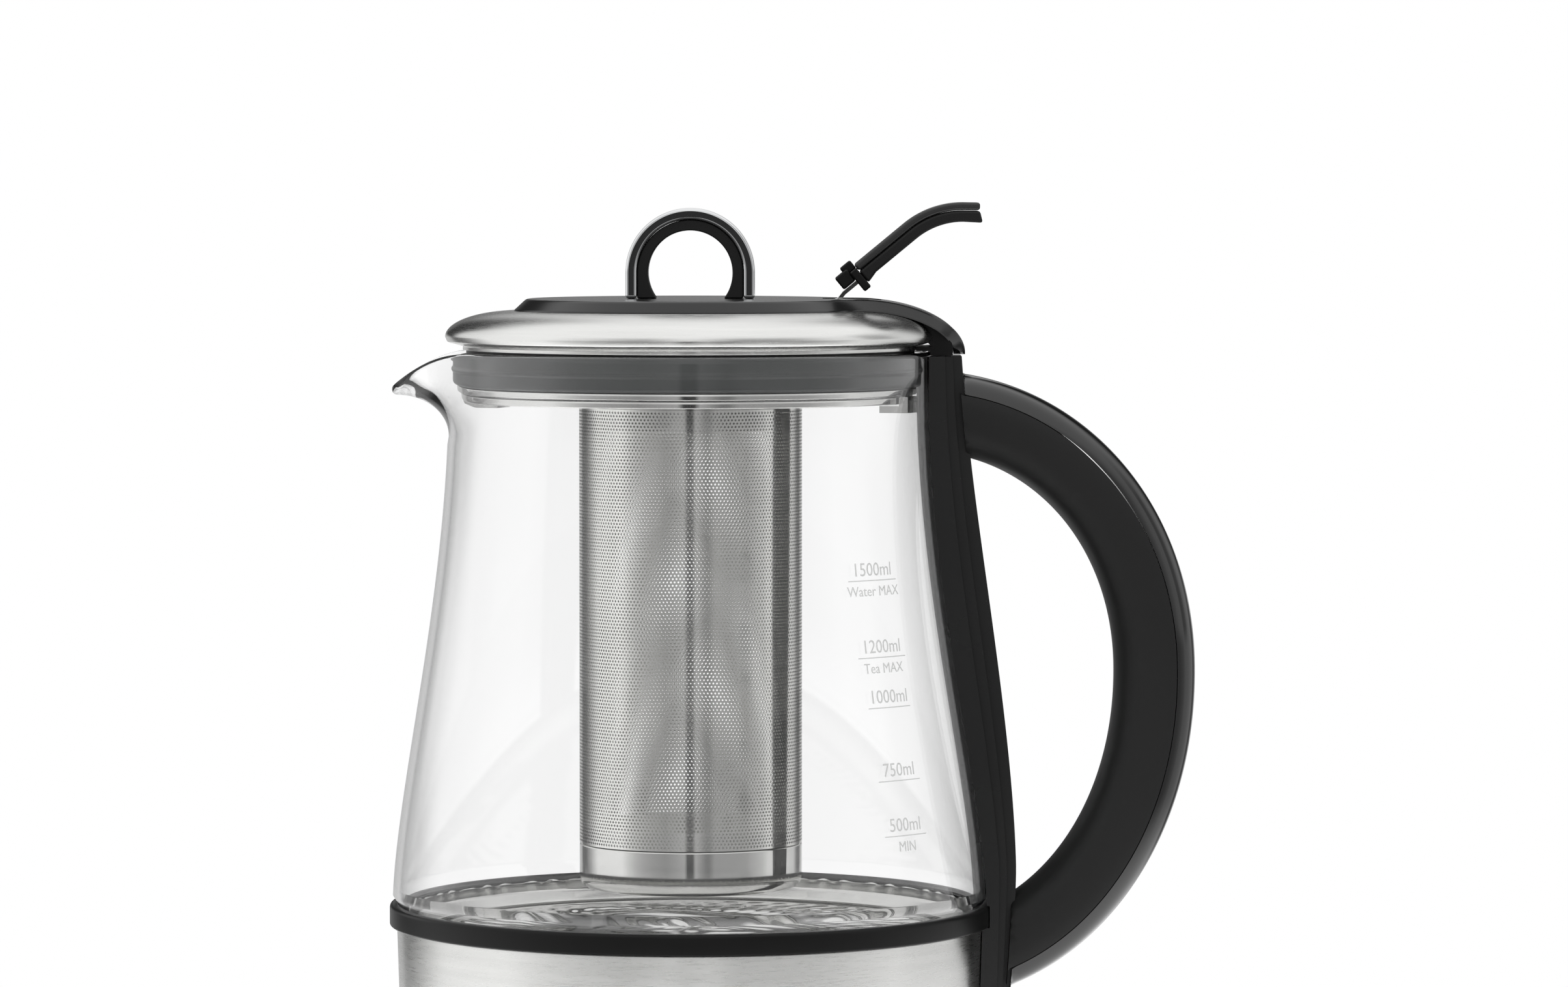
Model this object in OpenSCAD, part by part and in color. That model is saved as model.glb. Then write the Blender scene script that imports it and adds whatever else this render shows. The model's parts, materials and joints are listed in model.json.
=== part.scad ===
// Automatic tea maker: a glass jug with a steel heating foot, a lift-off lid that
// carries a perforated tea basket, a folding lever, and a power base with a
// sloped control deck. Millimetres. The jug's axis is the Z axis, the table is
// z = 0, the pouring lip points to -X, the handle to +X and the controls to -Y.

/* [Power base] */
// Radius of the round part of the base
base_r = 80; // [78:0.5:90]
// Height of the base's flat top above the table
base_h = 26.7; // [22:0.1:34]
// Wall thickness of the base's housing
base_wall = 2.5; // [1.8:0.1:3.5]
// Half the distance between the deck's two front corner centres
deck_half = 46; // [42:1:55]
// Plain strip between the small buttons and the deck's front edge
deck_margin = 5; // [3:0.5:14]
// Radius of the deck's front corners
deck_corner_r = 14; // [10:0.5:18]
// Slope of the control deck in degrees
deck_slope = 20; // [12:1:24]
// Height of the rubber ring under the base that shows
foot_h = 2; // [1.5:0.1:3]
// Radius of the rubber ring's middle line
foot_r = 63; // [56:1:66]
// Width of the rubber ring
foot_w = 6; // [5:0.5:8]
// Radius of the connector boss that the jug sits over
boss_r = 18.6; // [16:0.1:21]
// Height of the connector boss above the base's top
boss_h = 6.8; // [5:0.1:9]
// Radius of the cord's hole in its bush
cord_hole_r = 3.6; // [3:0.1:4.5]

/* [Controls] */
// Radius of the large start button
start_r = 8; // [6:0.1:9]
// Radius of the four small buttons
key_r = 5.2; // [4:0.1:6]
// Distance between neighbouring small buttons
key_pitch = 15; // [13:0.5:17]
// Travel of every button
key_travel = 1; // [0.6:0.1:1.4]
// How far the buttons stand out of the deck
key_proud = 1.4; // [1.1:0.1:2]
// Width of the display window
window_w = 34; // [28:1:38]
// Depth of the display window along the slope
window_d = 13; // [10:0.5:14]

/* [Steel foot of the jug] */
// Height of the steel foot, from the jug's underside to the collar ring
shell_h = 43; // [36:0.5:50]
// Radius of the steel foot at its top
shell_r = 76.9; // [74:0.1:78]
// How much narrower the steel foot is at its bottom
shell_taper = 1.3; // [0:0.1:3]
// Thickness of the steel sheet
sheet_t = 0.8; // [0.6:0.1:1.2]
// Height of the black collar ring
ring_h = 5.5; // [4.5:0.1:7]
// How far the collar ring stands out from the steel foot
ring_proud = 1.9; // [1.5:0.1:3]

/* [Glass] */
// Height of the glass's rim above the collar ring's underside
glass_h = 149.6; // [140:0.5:165]
// How far the glass, at its widest, stands out from the steel foot
glass_proud = 1.1; // [0.7:0.1:1.3]
// Outer radius of the glass at the neck
neck_r = 63.1; // [62.6:0.1:64]
// Thickness of the glass
glass_wall = 2; // [1.6:0.1:2]
// How far the pouring lip's tip stands out from the axis
lip_reach = 76.2; // [72:0.1:80]
// How far the pouring lip's underside rises from the neck to its tip
lip_rise = 10.6; // [9:0.1:12]
// Half the angle that the pouring lip takes of the rim
lip_angle = 29; // [22:1:34]

/* [Lid] */
// Radius of the steel dome
dome_r = 64; // [63.5:0.1:66]
// Height of the dome's curve
dome_h = 6.7; // [5:0.1:9]
// Height of the dome's widest line above the glass's rim
dome_lift = 3.9; // [3.5:0.1:5]
// Radius of the black plate on the dome
plate_r = 46; // [43:0.5:49]
// How much the plate narrows toward its top
plate_slope = 3; // [1:0.1:4]
// Thickness of the black plate
plate_t = 3.1; // [2.8:0.1:4]
// Width of the tongue that reaches over the handle
tongue_w = 30; // [26:1:34]
// Radius of the curve from the plate's edge into the tongue's side
tongue_fillet = 15; // [8:1:24]
// Gap between the plug's seal and the glass
plug_gap = 0.4; // [0.3:0.05:0.8]
// Inner radius of the loop knob
loop_r = 11; // [10:0.5:14]
// Thickness of the loop's black core
core_t = 2.8; // [2.4:0.1:4]
// Thickness of the loop's bright trim
trim_t = 3; // [2:0.1:4]
// Width of the loop's trim
loop_w = 14; // [12:0.5:18]
// Height of the loop's centre above the plate
loop_rise = 6.7; // [5:0.1:9]

/* [Tea basket] */
// Radius of the perforated tea basket
basket_r = 29.1; // [26:0.1:31]
// Gap between the basket's bottom and the jug's steel floor
basket_gap = 10.5; // [6:0.5:20]
// Height of the basket's plain cup below the perforated tube
cup_h = 11.6; // [6:0.1:20]
// Thickness of the basket's sheet
basket_t = 0.6; // [0.5:0.05:0.8]
// Angle that the basket is turned by to free it from the lid
twist = 25; // [20:1:30]

/* [Lever] */
// Distance from the axis to the lever's pivot
pivot_x = 38.2; // [37:0.1:39]
// Radius of the lever's pivot pin
pin_r = 1.2; // [1:0.05:1.4]
// Width of the lever's grip
lever_w = 11; // [9:0.5:12]
// Angle of the lever's straight part above the level
lever_angle = 39.5; // [38:0.5:42]
// Length of the lever's straight part
lever_straight = 17; // [15:0.5:20]
// Radius of the lever's bend
lever_bend_r = 22; // [19:0.5:26]

/* [Handle] */
// Half the width of the column behind the glass
column_w = 13; // [11:0.5:15]
// Thickness of the column at its ends
column_t = 7.5; // [6.5:0.1:9]
// How much thicker the column is at mid-height
column_bulge = 3.1; // [2:0.1:4]
// Half the width of the grip
grip_w = 13; // [11:0.5:15]
// Reach of the grip's outside from its centre line
grip_a = 71.85; // [66:0.05:78]
// Thickness of the grip from the inside to the outside
grip_t = 21.2; // [18:0.1:24]
// Thickness of the glossy strip along the grip's back
strip_t = 5.3; // [4:0.1:7]
// Gap between the grip and the glossy strip
strip_gap = 0.2; // [0.1:0.05:0.4]

/* [Fits] */
// Gap between two pieces that are fastened together
seat_gap = 0.1; // [0.05:0.05:0.15]
// Gap between two pieces that lift apart
lift_gap = 0.3; // [0.25:0.05:0.5]
// Gap between a button and its hole
key_gap = 0.3; // [0.25:0.05:0.4]
// Radial gap of the lever's eye on its pin
pin_gap = 0.05; // [0.03:0.01:0.08]

/* [Hidden] */
$fn = 96;
eps = 0.01;

// Heights, stacked up from the table
jug_z = base_h + lift_gap;
ring_z = jug_z + shell_h;
ring_top = ring_z + ring_h;
rim_z = ring_z + glass_h;
floor_z = ring_z - 1.2;
belly_z = ring_z + 6;
waist_z = rim_z - 8.6;
lip_z = rim_z - 22;
dome_z = rim_z + dome_lift;
dome_top = dome_z + dome_h;
plate_z = dome_top + seat_gap;
plate_top = plate_z + plate_t;
loop_z = plate_top + loop_rise;
column_top = rim_z - 1.1;

// Radii that pieces share
shell_low_r = shell_r - shell_taper;
ring_r = shell_r + ring_proud;
belly_r = shell_r + glass_proud;
glass_foot_r = belly_r - 1.5;
glass_foot_z = ring_z + 2.6;
neck_bore_r = neck_r - glass_wall;
seal_r = neck_bore_r - plug_gap;
screw_r = 1.45;
screw_bore_r = screw_r + 0.05;
screw_pass_r = 1.8;
screw_head_r = 3;
head_pass_r = screw_head_r + 0.2;

// A smooth step from 0 to 1
function smooth(t) = let (u = min(1, max(0, t))) u * u * (3 - 2 * u);
function mix(a, b, t) = a + (b - a) * t;
function mix3(a, b, t) = [for (i = [0:len(a) - 1]) mix(a[i], b[i], t)];

// Outer radius of the glass at height z: wide above the ring, narrow at the neck
function glass_r(z) =
    let (t = max(0, (z - belly_z) / (waist_z - belly_z)))
    mix(belly_r, neck_r, smooth(pow(t, 0.8)));

// A solid through a list of closed rings of points; open ends get flat caps
module loft(rings, closed = false) {
    n = len(rings[0]);
    m = len(rings);
    steps = closed ? m : m - 1;
    sides = [for (i = [0:steps - 1], j = [0:n - 1])
        let (a = i * n + j, b = i * n + (j + 1) % n,
             c = ((i + 1) % m) * n + (j + 1) % n, d = ((i + 1) % m) * n + j)
        each [[a, b, c], [a, c, d]]];
    caps = closed ? [] : [[for (j = [n - 1:-1:0]) j], [for (j = [0:n - 1]) (m - 1) * n + j]];
    polyhedron(points = [for (ring = rings) each ring], faces = concat(sides, caps));
}

// A band between two offsets of a path in the XZ plane, extruded to a width in Y
function path_normal(p, i) =
    let (a = p[max(0, i - 1)], b = p[min(len(p) - 1, i + 1)], d = b - a)
    [-d[1], d[0]] / norm(d);
function offset_path(p, d) = [for (i = [0:len(p) - 1]) p[i] + d * path_normal(p, i)];
function reverse(v) = [for (i = [len(v) - 1:-1:0]) v[i]];
function band(p, low, high) = concat(offset_path(p, low), reverse(offset_path(p, high)));
module side_plate(points, width) {
    rotate([90, 0, 0]) linear_extrude(width, center = true) polygon(points);
}
module tube(outer, inner, height) {
    difference() {
        cylinder(r = outer, h = height);
        translate([0, 0, -eps]) cylinder(r = inner, h = height + 2 * eps);
    }
}

// ---- Power base ----

// Down the slope of the deck: a margin, the window, the small buttons, a margin
deck_line = base_r + 1;
window_margin = 2.1;
window_y = -window_margin - window_d / 2;
key_y = window_y - window_d / 2 - 1.4 - key_r;
deck_len = key_r + deck_margin - key_y;
deck_front = deck_line + deck_len * cos(deck_slope);
deck_reach = deck_front - deck_corner_r;

// The angle at which the deck's sides leave the round part
corner_d = norm([deck_half, deck_reach]);
side_angle = acos((base_r - deck_corner_r) / corner_d) - atan2(deck_reach, deck_half);

// A slab of the base's outline: a round with straight sides running out to two
// round corners. The sides lie a hair inside the rounds, so that they cross them.
side_sink = 0.04;
module base_slab(inset, height) {
    r = base_r - inset;
    c = deck_corner_r - inset;
    side = [cos(side_angle), sin(side_angle)];
    far = r - side_sink;
    near = c - side_sink;
    cylinder(r = r, h = height);
    for (x = [-1, 1]) translate([x * deck_half, -deck_reach, 0]) cylinder(r = c, h = height);
    linear_extrude(height) polygon([[far * side[0], far * side[1]],
        [deck_half + near * side[0], -deck_reach + near * side[1]],
        [deck_half, -deck_reach - near], [-deck_half, -deck_reach - near],
        [-deck_half - near * side[0], -deck_reach + near * side[1]],
        [-far * side[0], far * side[1]]]);
}

// The control deck's own frame: its surface is z = 0, and -Y runs down to the front
module on_deck() {
    translate([0, -deck_line, base_h]) rotate([deck_slope, 0, 0]) children();
}
module base_block(inset, low, drop) {
    difference() {
        translate([0, 0, low]) base_slab(inset, base_h - drop - low);
        on_deck() translate([-base_r, -base_r, -drop]) cube([2 * base_r, base_r, base_h]);
    }
}
start_x = window_w / 2 + start_r + 6;
button_places = [[start_x, window_y - 1.5, start_r], [-1.5 * key_pitch, key_y, key_r],
    [-0.5 * key_pitch, key_y, key_r], [0.5 * key_pitch, key_y, key_r],
    [-start_x, window_y - 1.5, key_r]];
board_drop = 8.6;
board_side = 10;
board_low = key_y - 5;
board_high = window_y + 8;
module at_standoffs() {
    for (x = [-1, 1]) translate([x * (start_x + 4), key_y - 1, 0]) children();
}
base_post_r = 3.6;
post_ring_r = foot_r - foot_w / 2 - base_post_r - 4;
base_posts = [for (x = [-1, 1]) each [[x * post_ring_r * 0.8, post_ring_r * 0.6],
    [x * deck_half, -deck_reach + 2]]];
bottom_t = 2.6;
bottom_z = foot_h;
foot_sink = 0.9;
boss_top = base_h + boss_h;
pin_slot_r = 3.4;
blade_r = 10.4;
blade_slot = 2.4;
hollow_drop = 9;
bush_r = cord_hole_r + 2.4;
bush_flange = 1.2;
cord_z = bottom_z + bottom_t + bush_r + bush_flange + 0.2;
bush_in = base_r - base_wall - 4;

module base_housing() {
    post_z = bottom_z + bottom_t + seat_gap;
    color("#202020") difference() {
        union() {
            difference() {
                base_block(0, bottom_z, 0);
                base_block(base_wall, bottom_z - eps, base_wall);
            }
            intersection() {
                base_block(base_wall - eps, bottom_z, base_wall - eps);
                for (p = base_posts) translate([p[0], p[1], post_z])
                    cylinder(r = base_post_r, h = base_h);
            }
            on_deck() at_standoffs() translate([0, 0, -board_drop + 0.05])
                cylinder(r = 2.8, h = board_drop - base_wall);
            on_deck() at_standoffs() translate([0, 0, -board_drop - 2.4])
                cylinder(r = 1.5, h = 4);
        }
        for (p = base_posts) translate([p[0], p[1], post_z - eps])
            cylinder(r = screw_bore_r, h = 8);
        translate([0, 0, base_h - base_wall - eps])
            cylinder(r = boss_r + seat_gap, h = base_wall + 1);
        on_deck() for (b = button_places) translate([b[0], b[1], -base_wall - 2])
            cylinder(r = b[2] + key_gap, h = base_wall + 4);
        on_deck() translate([0, window_y, 0])
            cube([window_w + 2 * seat_gap, window_d + 2 * seat_gap, 4 * base_wall], center = true);
        translate([0, base_r + 1, cord_z]) rotate([90, 0, 0])
            cylinder(r = bush_r + seat_gap, h = base_wall + 4);
    }
}

module base_bottom() {
    color("#1b1b1b") difference() {
        translate([0, 0, bottom_z]) base_slab(base_wall + seat_gap, bottom_t);
        translate([0, 0, bottom_z - eps]) tube(foot_r + foot_w / 2 + seat_gap,
            foot_r - foot_w / 2 - seat_gap, foot_sink);
        for (x = [-1, 1]) translate([x * deck_half * 0.6, -deck_reach, bottom_z - eps])
            cylinder(r = foot_w + seat_gap, h = foot_sink);
        for (p = base_posts) translate([p[0], p[1], bottom_z - eps]) {
            cylinder(r = screw_pass_r, h = bottom_t + 1);
            cylinder(r = head_pass_r, h = 1.5);
        }
    }
}
module foot_ring() {
    color("#2c2c2c") tube(foot_r + foot_w / 2, foot_r - foot_w / 2, foot_h + foot_sink - 0.05);
}
module front_feet() {
    color("#2c2c2c") for (x = [-1, 1]) translate([x * deck_half * 0.6, -deck_reach, 0])
        cylinder(r = foot_w, h = foot_h + foot_sink - 0.05);
}
module base_screws() {
    color("silver") for (p = base_posts) translate([p[0], p[1], bottom_z + 0.1]) {
        cylinder(r = screw_head_r, h = 1.35);
        cylinder(r = screw_r, h = 9);
    }
}
module base_connector() {
    color("#141414") difference() {
        union() {
            translate([0, 0, bottom_z + bottom_t + seat_gap])
                cylinder(r = boss_r, h = boss_top - bottom_z - bottom_t - seat_gap);
            translate([0, 0, base_h - base_wall - seat_gap - 3])
                cylinder(r = boss_r + 5, h = 3);
        }
        translate([0, 0, base_h - 4]) cylinder(r = pin_slot_r, h = boss_h + 5);
        translate([0, 0, base_h - 3])
            tube(blade_r + blade_slot / 2, blade_r - blade_slot / 2, boss_h + 4);
        translate([0, 0, bottom_z]) cylinder(r = boss_r - 3, h = base_h - hollow_drop - bottom_z);
    }
}
module base_contacts() {
    top = base_h - hollow_drop - seat_gap;
    color("#b58d3d") {
        translate([0, 0, top - 1.2]) cylinder(r = boss_r - 4, h = 1.2);
        for (x = [-1, 1]) translate([x * 8 - 0.4, -3, top - 6.2]) cube([0.8, 6, 5.1]);
    }
}
module cord_bush() {
    color("#181818") difference() {
        union() {
            translate([0, base_r + 3, cord_z]) rotate([90, 0, 0])
                cylinder(r = bush_r, h = base_r + 3 - bush_in);
            translate([0, bush_in + 1.4, cord_z]) rotate([90, 0, 0])
                cylinder(r = bush_r + bush_flange, h = 1.4);
        }
        translate([0, base_r + 4, cord_z]) rotate([90, 0, 0])
            cylinder(r = cord_hole_r, h = base_r);
    }
}
module display_window() {
    color("#30363a") on_deck() translate([0, window_y, -1.2])
        cube([window_w, window_d, 2.4], center = true);
}
module display_module() {
    color("#6f7a70") on_deck() translate([0, window_y, -4.2])
        cube([window_w + 4, window_d - 1, 3.2], center = true);
}
module control_board() {
    color("#2f5d3a") on_deck() difference() {
        union() {
            translate([-start_x - board_side, board_low, -board_drop - 1.6])
                cube([2 * (start_x + board_side), board_high - board_low, 1.6]);
            translate([0, window_y, -board_drop])
                translate([-window_w / 2 + 4, -3, 0]) cube([window_w - 8, 6, board_drop - 5.9]);
            for (b = button_places) translate([b[0], b[1], -board_drop])
                translate([-3, -3, 0]) cube([6, 6, 2.2]);
        }
        at_standoffs() translate([0, 0, -board_drop - 2]) cylinder(r = 1.6, h = 3);
    }
}

// A button: a crowned cap with a collar under the deck that holds it in
module button(i) {
    b = button_places[i];
    stem = board_drop - 2.2 - key_travel - 0.25;
    color("#3a3a3a") on_deck() translate([b[0], b[1], 0]) {
        rotate_extrude() polygon([[0, -stem], [2.4, -stem], [2.4, -base_wall - 1.4],
            [b[2] + 1.1, -base_wall - 1.4], [b[2] + 1.1, -base_wall - 0.2],
            [b[2], -base_wall - 0.2], [b[2], key_proud - 0.6], [b[2] - 0.6, key_proud],
            [b[2] * 0.5, key_proud - 0.25], [0, key_proud - 0.35]]);
    }
}
module button_start() { button(0); }
module button_warm() { button(1); }
module button_minus() { button(2); }
module button_plus() { button(3); }
module button_tea() { button(4); }

// ---- Steel foot of the jug ----

cover_t = 2.6;
shell_fold = 2.2;
socket_in_r = boss_r + 0.7;
socket_out_r = socket_in_r + 4.5;
socket_roof = jug_z + boss_h + 0.9;
stud_ring_r = shell_low_r - 10;
stud_r = 3;
stud_z = jug_z + 9;
stud_count = 3;
function stud_angle(i) = 60 + i * 360 / stud_count;
module at_studs() {
    for (i = [0:stud_count - 1]) rotate([0, 0, stud_angle(i)]) translate([stud_ring_r, 0, 0])
        children();
}
module bottom_cover() {
    edge_r = shell_low_r - shell_fold - seat_gap;
    color("#1c1c1c") difference() {
        union() {
            translate([0, 0, jug_z]) cylinder(r = edge_r, h = cover_t);
            translate([0, 0, jug_z]) tube(edge_r, edge_r - 2, 7);
            at_studs() translate([0, 0, jug_z]) cylinder(r = 4.4, h = stud_z - jug_z - seat_gap);
        }
        translate([0, 0, jug_z - 1]) cylinder(r = socket_out_r + seat_gap, h = cover_t + 2);
        at_studs() translate([0, 0, jug_z - 1]) {
            cylinder(r = screw_pass_r, h = stud_z);
            cylinder(r = head_pass_r, h = 3.2);
        }
    }
}
module jug_screws() {
    color("silver") at_studs() translate([0, 0, jug_z + 0.4]) {
        cylinder(r = screw_head_r, h = 1.75);
        cylinder(r = screw_r, h = 16);
    }
}
module steel_shell() {
    top = ring_z - seat_gap;
    low = jug_z + 0.6;
    fold = shell_fold;
    color("#b9bab8") difference() {
        rotate_extrude($fn = 128) polygon([[shell_low_r - fold, low],
            [shell_low_r - fold * 0.3, low + fold * 0.25], [shell_low_r, low + fold],
            [shell_r, top - 0.5], [shell_r - 0.3, top], [shell_r - 3.4, top],
            [shell_r - 3.4, top - sheet_t], [shell_r - sheet_t, top - sheet_t],
            [shell_low_r - sheet_t, low + fold], [shell_low_r - fold, low + sheet_t]]);
        at_handle_screws() translate([-8, 0, 0]) rotate([0, 90, 0])
            cylinder(r = screw_pass_r, h = 12);
    }
}
module collar_ring() {
    color("#222222") rotate_extrude($fn = 128) polygon([
        [shell_r - 3.3, ring_z], [ring_r - 0.3, ring_z], [ring_r, ring_z + 0.3],
        [ring_r, ring_top - 0.8], [ring_r - 0.6, ring_top], [glass_foot_r + seat_gap, ring_top],
        [glass_foot_r + seat_gap, ring_z + 0.6], [shell_r - 3.3, ring_z + 0.6]]);
}
flange_w = 4.2;
module floor_plate() {
    rise = glass_foot_r - flange_w;
    flange_z = ring_z + 0.6 + seat_gap / 2;
    color("#c4c5c3") {
        difference() {
            union() {
                rotate_extrude($fn = 128) polygon([[0, floor_z], [rise - 4, floor_z],
                    [rise - 1, floor_z + 0.5], [rise, flange_z + sheet_t],
                    [glass_foot_r - 0.2, flange_z + sheet_t], [glass_foot_r - 0.2, flange_z],
                    [rise + sheet_t, flange_z], [rise + sheet_t, floor_z - 0.4],
                    [rise - 3.6, floor_z - sheet_t], [0, floor_z - sheet_t]]);
                at_studs() translate([0, 0, stud_z])
                    cylinder(r = stud_r, h = floor_z - sheet_t / 2 - stud_z);
            }
            at_studs() translate([0, 0, stud_z - eps]) cylinder(r = screw_bore_r, h = 9);
        }
    }
}
module glass_seal() {
    seat_z = ring_z + 0.6 + seat_gap + sheet_t;
    outer = glass_foot_r - 0.15;
    inner = glass_foot_r - flange_w + 0.2;
    lap = glass_foot_r - glass_wall - 0.5;
    color("#d8d8d8") rotate_extrude($fn = 128) polygon([[inner, seat_z], [outer, seat_z],
        [outer, glass_foot_z - 0.05], [lap, glass_foot_z - 0.05],
        [lap - 0.2, glass_foot_z + 1.6], [inner + 0.4, glass_foot_z + 1.6]]);
}
plate_under = floor_z - sheet_t - seat_gap;
heat_r = stud_ring_r - stud_r - 3;
heat_t = 2;
module heat_plate() {
    color("#9fa2a5") translate([0, 0, plate_under - heat_t]) cylinder(r = heat_r, h = heat_t);
}
element_r = 3.2;
module heating_element() {
    ring = heat_r * 0.8;
    z = plate_under - heat_t - seat_gap - element_r;
    color("#8d8f90") {
        translate([0, 0, z]) rotate([0, 0, 30]) rotate_extrude(angle = 300)
            translate([ring, 0]) circle(element_r, $fn = 32);
        for (a = [35, 325]) rotate([0, 0, a]) translate([ring, 0, z - 9])
            cylinder(r = element_r * 0.6, h = 9);
    }
}
module thermostat() {
    color("#c9c3b4") {
        translate([0, 0, plate_under - heat_t - seat_gap - 7]) cylinder(r = 9, h = 7);
        for (x = [-1, 1]) translate([x * 5 - 0.4, -2, plate_under - heat_t - 12])
            cube([0.8, 4, 5.5]);
    }
}
pin_contact_r = pin_slot_r - 0.8;
pin_contact_top = socket_roof + 4;
module jug_socket() {
    color("#171717") difference() {
        union() {
            translate([0, 0, jug_z]) cylinder(r = socket_out_r, h = socket_roof + 3 - jug_z);
            translate([0, 0, jug_z + cover_t + seat_gap]) cylinder(r = socket_out_r + 4, h = 2);
        }
        translate([0, 0, jug_z - 1]) cylinder(r = socket_in_r, h = socket_roof - jug_z + 1);
        translate([0, 0, jug_z]) cylinder(r = pin_contact_r + seat_gap, h = pin_contact_top - jug_z);
    }
}
module jug_contacts() {
    color("#b58d3d") {
        translate([0, 0, jug_z + 0.8]) cylinder(r = pin_contact_r, h = pin_contact_top + 2 - jug_z);
        translate([0, 0, jug_z + 1.4]) tube(blade_r + 0.5, blade_r - 0.5, socket_roof - jug_z - 1.5);
    }
}

// ---- Glass with its pulled pouring lip ----

wall_levels = [0.055, 0.12, 0.2, 0.29, 0.38, 0.47, 0.57, 0.67, 0.78, 0.9];
lip_steps = 7;

// One wall point: depth is 0 outside and glass_wall inside, q runs up the lip,
// pull is 0 on the round neck and 1 along the middle of the lip. The height sinks
// later than the wall bends out, which rounds the rim's line toward the tip
lip_round = 2.2;
function lip_point(q, depth, pull) =
    let (plain = [glass_r(mix(lip_z, rim_z - 0.8, q)) - depth, mix(lip_z, rim_z - 0.8, q)],
         bent = [lip_reach - (lip_reach - neck_r + depth) * cos(90 * q),
                 lip_z + (lip_rise + depth) * sin(90 * q)])
    [mix(plain[0], bent[0], pull), mix(plain[1], bent[1], pow(pull, lip_round))];
function crown_point(pull) =
    let (m = lip_point(1, glass_wall / 2, pull)) m + [0.8 * pull, 0.8 * (1 - pull)];
function wall_point(t, depth) =
    let (z = mix(ring_top, lip_z, t)) [glass_r(z) - depth, z];
function glass_profile(pull) = concat(
    [[glass_foot_r, glass_foot_z], [glass_foot_r, ring_top + 0.1], [belly_r, ring_top + 1.6]],
    [for (t = wall_levels) wall_point(t, 0)],
    [for (i = [0:lip_steps - 1]) lip_point(i / (lip_steps - 1), 0, pull)],
    [crown_point(pull)],
    [for (i = [lip_steps - 1:-1:0]) lip_point(i / (lip_steps - 1), glass_wall, pull)],
    [for (i = [len(wall_levels) - 1:-1:0]) wall_point(wall_levels[i], glass_wall)],
    [[glass_foot_r - glass_wall, ring_top + 1.6], [glass_foot_r - glass_wall, glass_foot_z]]);
function lip_pull(a) = abs(a) < lip_angle ? pow(cos(90 * a / lip_angle), 2) : 0;
lip_cuts = 12;
round_cuts = 44;
glass_angles = concat(
    [for (i = [0:lip_cuts - 1]) mix(-lip_angle, lip_angle, i / lip_cuts)],
    [for (i = [0:round_cuts - 1]) mix(lip_angle, 360 - lip_angle, i / round_cuts)]);
module glass_body() {
    color([0.8, 0.85, 0.85, 0.35]) loft([for (a = reverse(glass_angles))
        [for (p = glass_profile(lip_pull(a))) [-p[0] * cos(a), -p[0] * sin(a), p[1]]]], true);
}

// ---- Handle ----

foot_low = jug_z + 7;
bend_z = ring_z + 15;
column_steps = 14;
function column_depth(z) = z > bend_z
    ? column_t + column_bulge * sin(180 * (z - bend_z) / (column_top - bend_z))
    : column_t - 1.7 * pow((bend_z - z) / 31.5, 1.5);
function column_skin(z) = glass_r(max(z, bend_z));
function column_levels() = concat([foot_low, foot_low + 4, foot_low + 12, ring_z - 8],
    [for (i = [0:column_steps]) mix(bend_z, column_top, i / column_steps)]);
function column_line(share) = [for (z = column_levels())
    [column_skin(z) + share * column_depth(z) - (z < foot_low + 1 ? 3.5 * share : 0), z]];
module column_layer(share, half) {
    side_plate(concat([[shell_low_r - 6, foot_low]], column_line(share),
        [[neck_r - 6, column_top]]), 2 * half);
}
// Everything that the column and the grip lie against: glass, ring and steel foot
module jug_envelope(gap) {
    rotate_extrude($fn = 128) polygon(concat([[0, jug_z - 1], [shell_low_r + gap, jug_z - 1],
        [shell_r + gap, ring_z - gap], [ring_r + gap, ring_z - gap], [ring_r + gap, ring_top + gap]],
        [for (i = [0:16]) let (z = mix(ring_top + gap, rim_z + 1, i / 16)) [glass_r(z) + gap, z]],
        [[0, rim_z + 1]]));
}
handle_screw_z = [foot_low + 8, foot_low + 24];
module at_handle_screws() {
    for (z = handle_screw_z) translate([shell_low_r, 0, z]) children();
}
module handle_column() {
    color("#1e1e1e") difference() {
        union() {
            column_layer(0.4, column_w);
            column_layer(0.67, column_w - 2.2);
            column_layer(1, column_w - 4.6);
        }
        jug_envelope(0.15);
        at_handle_screws() rotate([0, 90, 0]) cylinder(r = screw_bore_r, h = 6);
    }
}
module handle_screws() {
    color("silver") at_handle_screws() translate([-sheet_t - 2.2, 0, 0]) rotate([0, 90, 0]) {
        cylinder(r = screw_head_r, h = 1.8);
        cylinder(r = screw_r, h = sheet_t + 7.5);
    }
}

// The grip follows three ovals about one centre: outside, parting line and inside
grip_x = neck_r - 3.1;
grip_z = ring_z + 66;
grip_up = rim_z - 5 - grip_z;
grip_down = grip_z - jug_z - 22.3;
grip_stations = 34;
grip_low_angle = -86;
grip_high_angle = 84;
function oval(a, sink) =
    let (c = cos(a), s = sin(a), down = s < 0 ? 1 : 0, b = down ? grip_down : grip_up)
    [grip_x + (grip_a - sink) * sign(c) * pow(abs(c), 0.97),
     grip_z + (b - sink) * sign(s) * pow(abs(s), 0.97)];
function grip_point(a, share, v) =
    let (p = mix3(oval(a, grip_t), oval(a, 0), share)) [p[0], v, p[1]];
section_power = 0.72;
function section(f) = [0.5 + 0.5 * sign(cos(f)) * pow(abs(cos(f)), section_power),
    grip_w * sign(sin(f)) * pow(abs(sin(f)), section_power)];
function section_angle(share) = acos(pow(2 * share - 1, 1 / section_power));
module grip_sweep(f_start, f_end, steps) {
    loft([for (i = [0:grip_stations])
        let (a = mix(grip_low_angle, grip_high_angle, i / grip_stations))
        [for (j = [0:steps]) let (s = section(mix(f_start, f_end, j / steps)))
            grip_point(a, s[0], s[1])]]);
}
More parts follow.
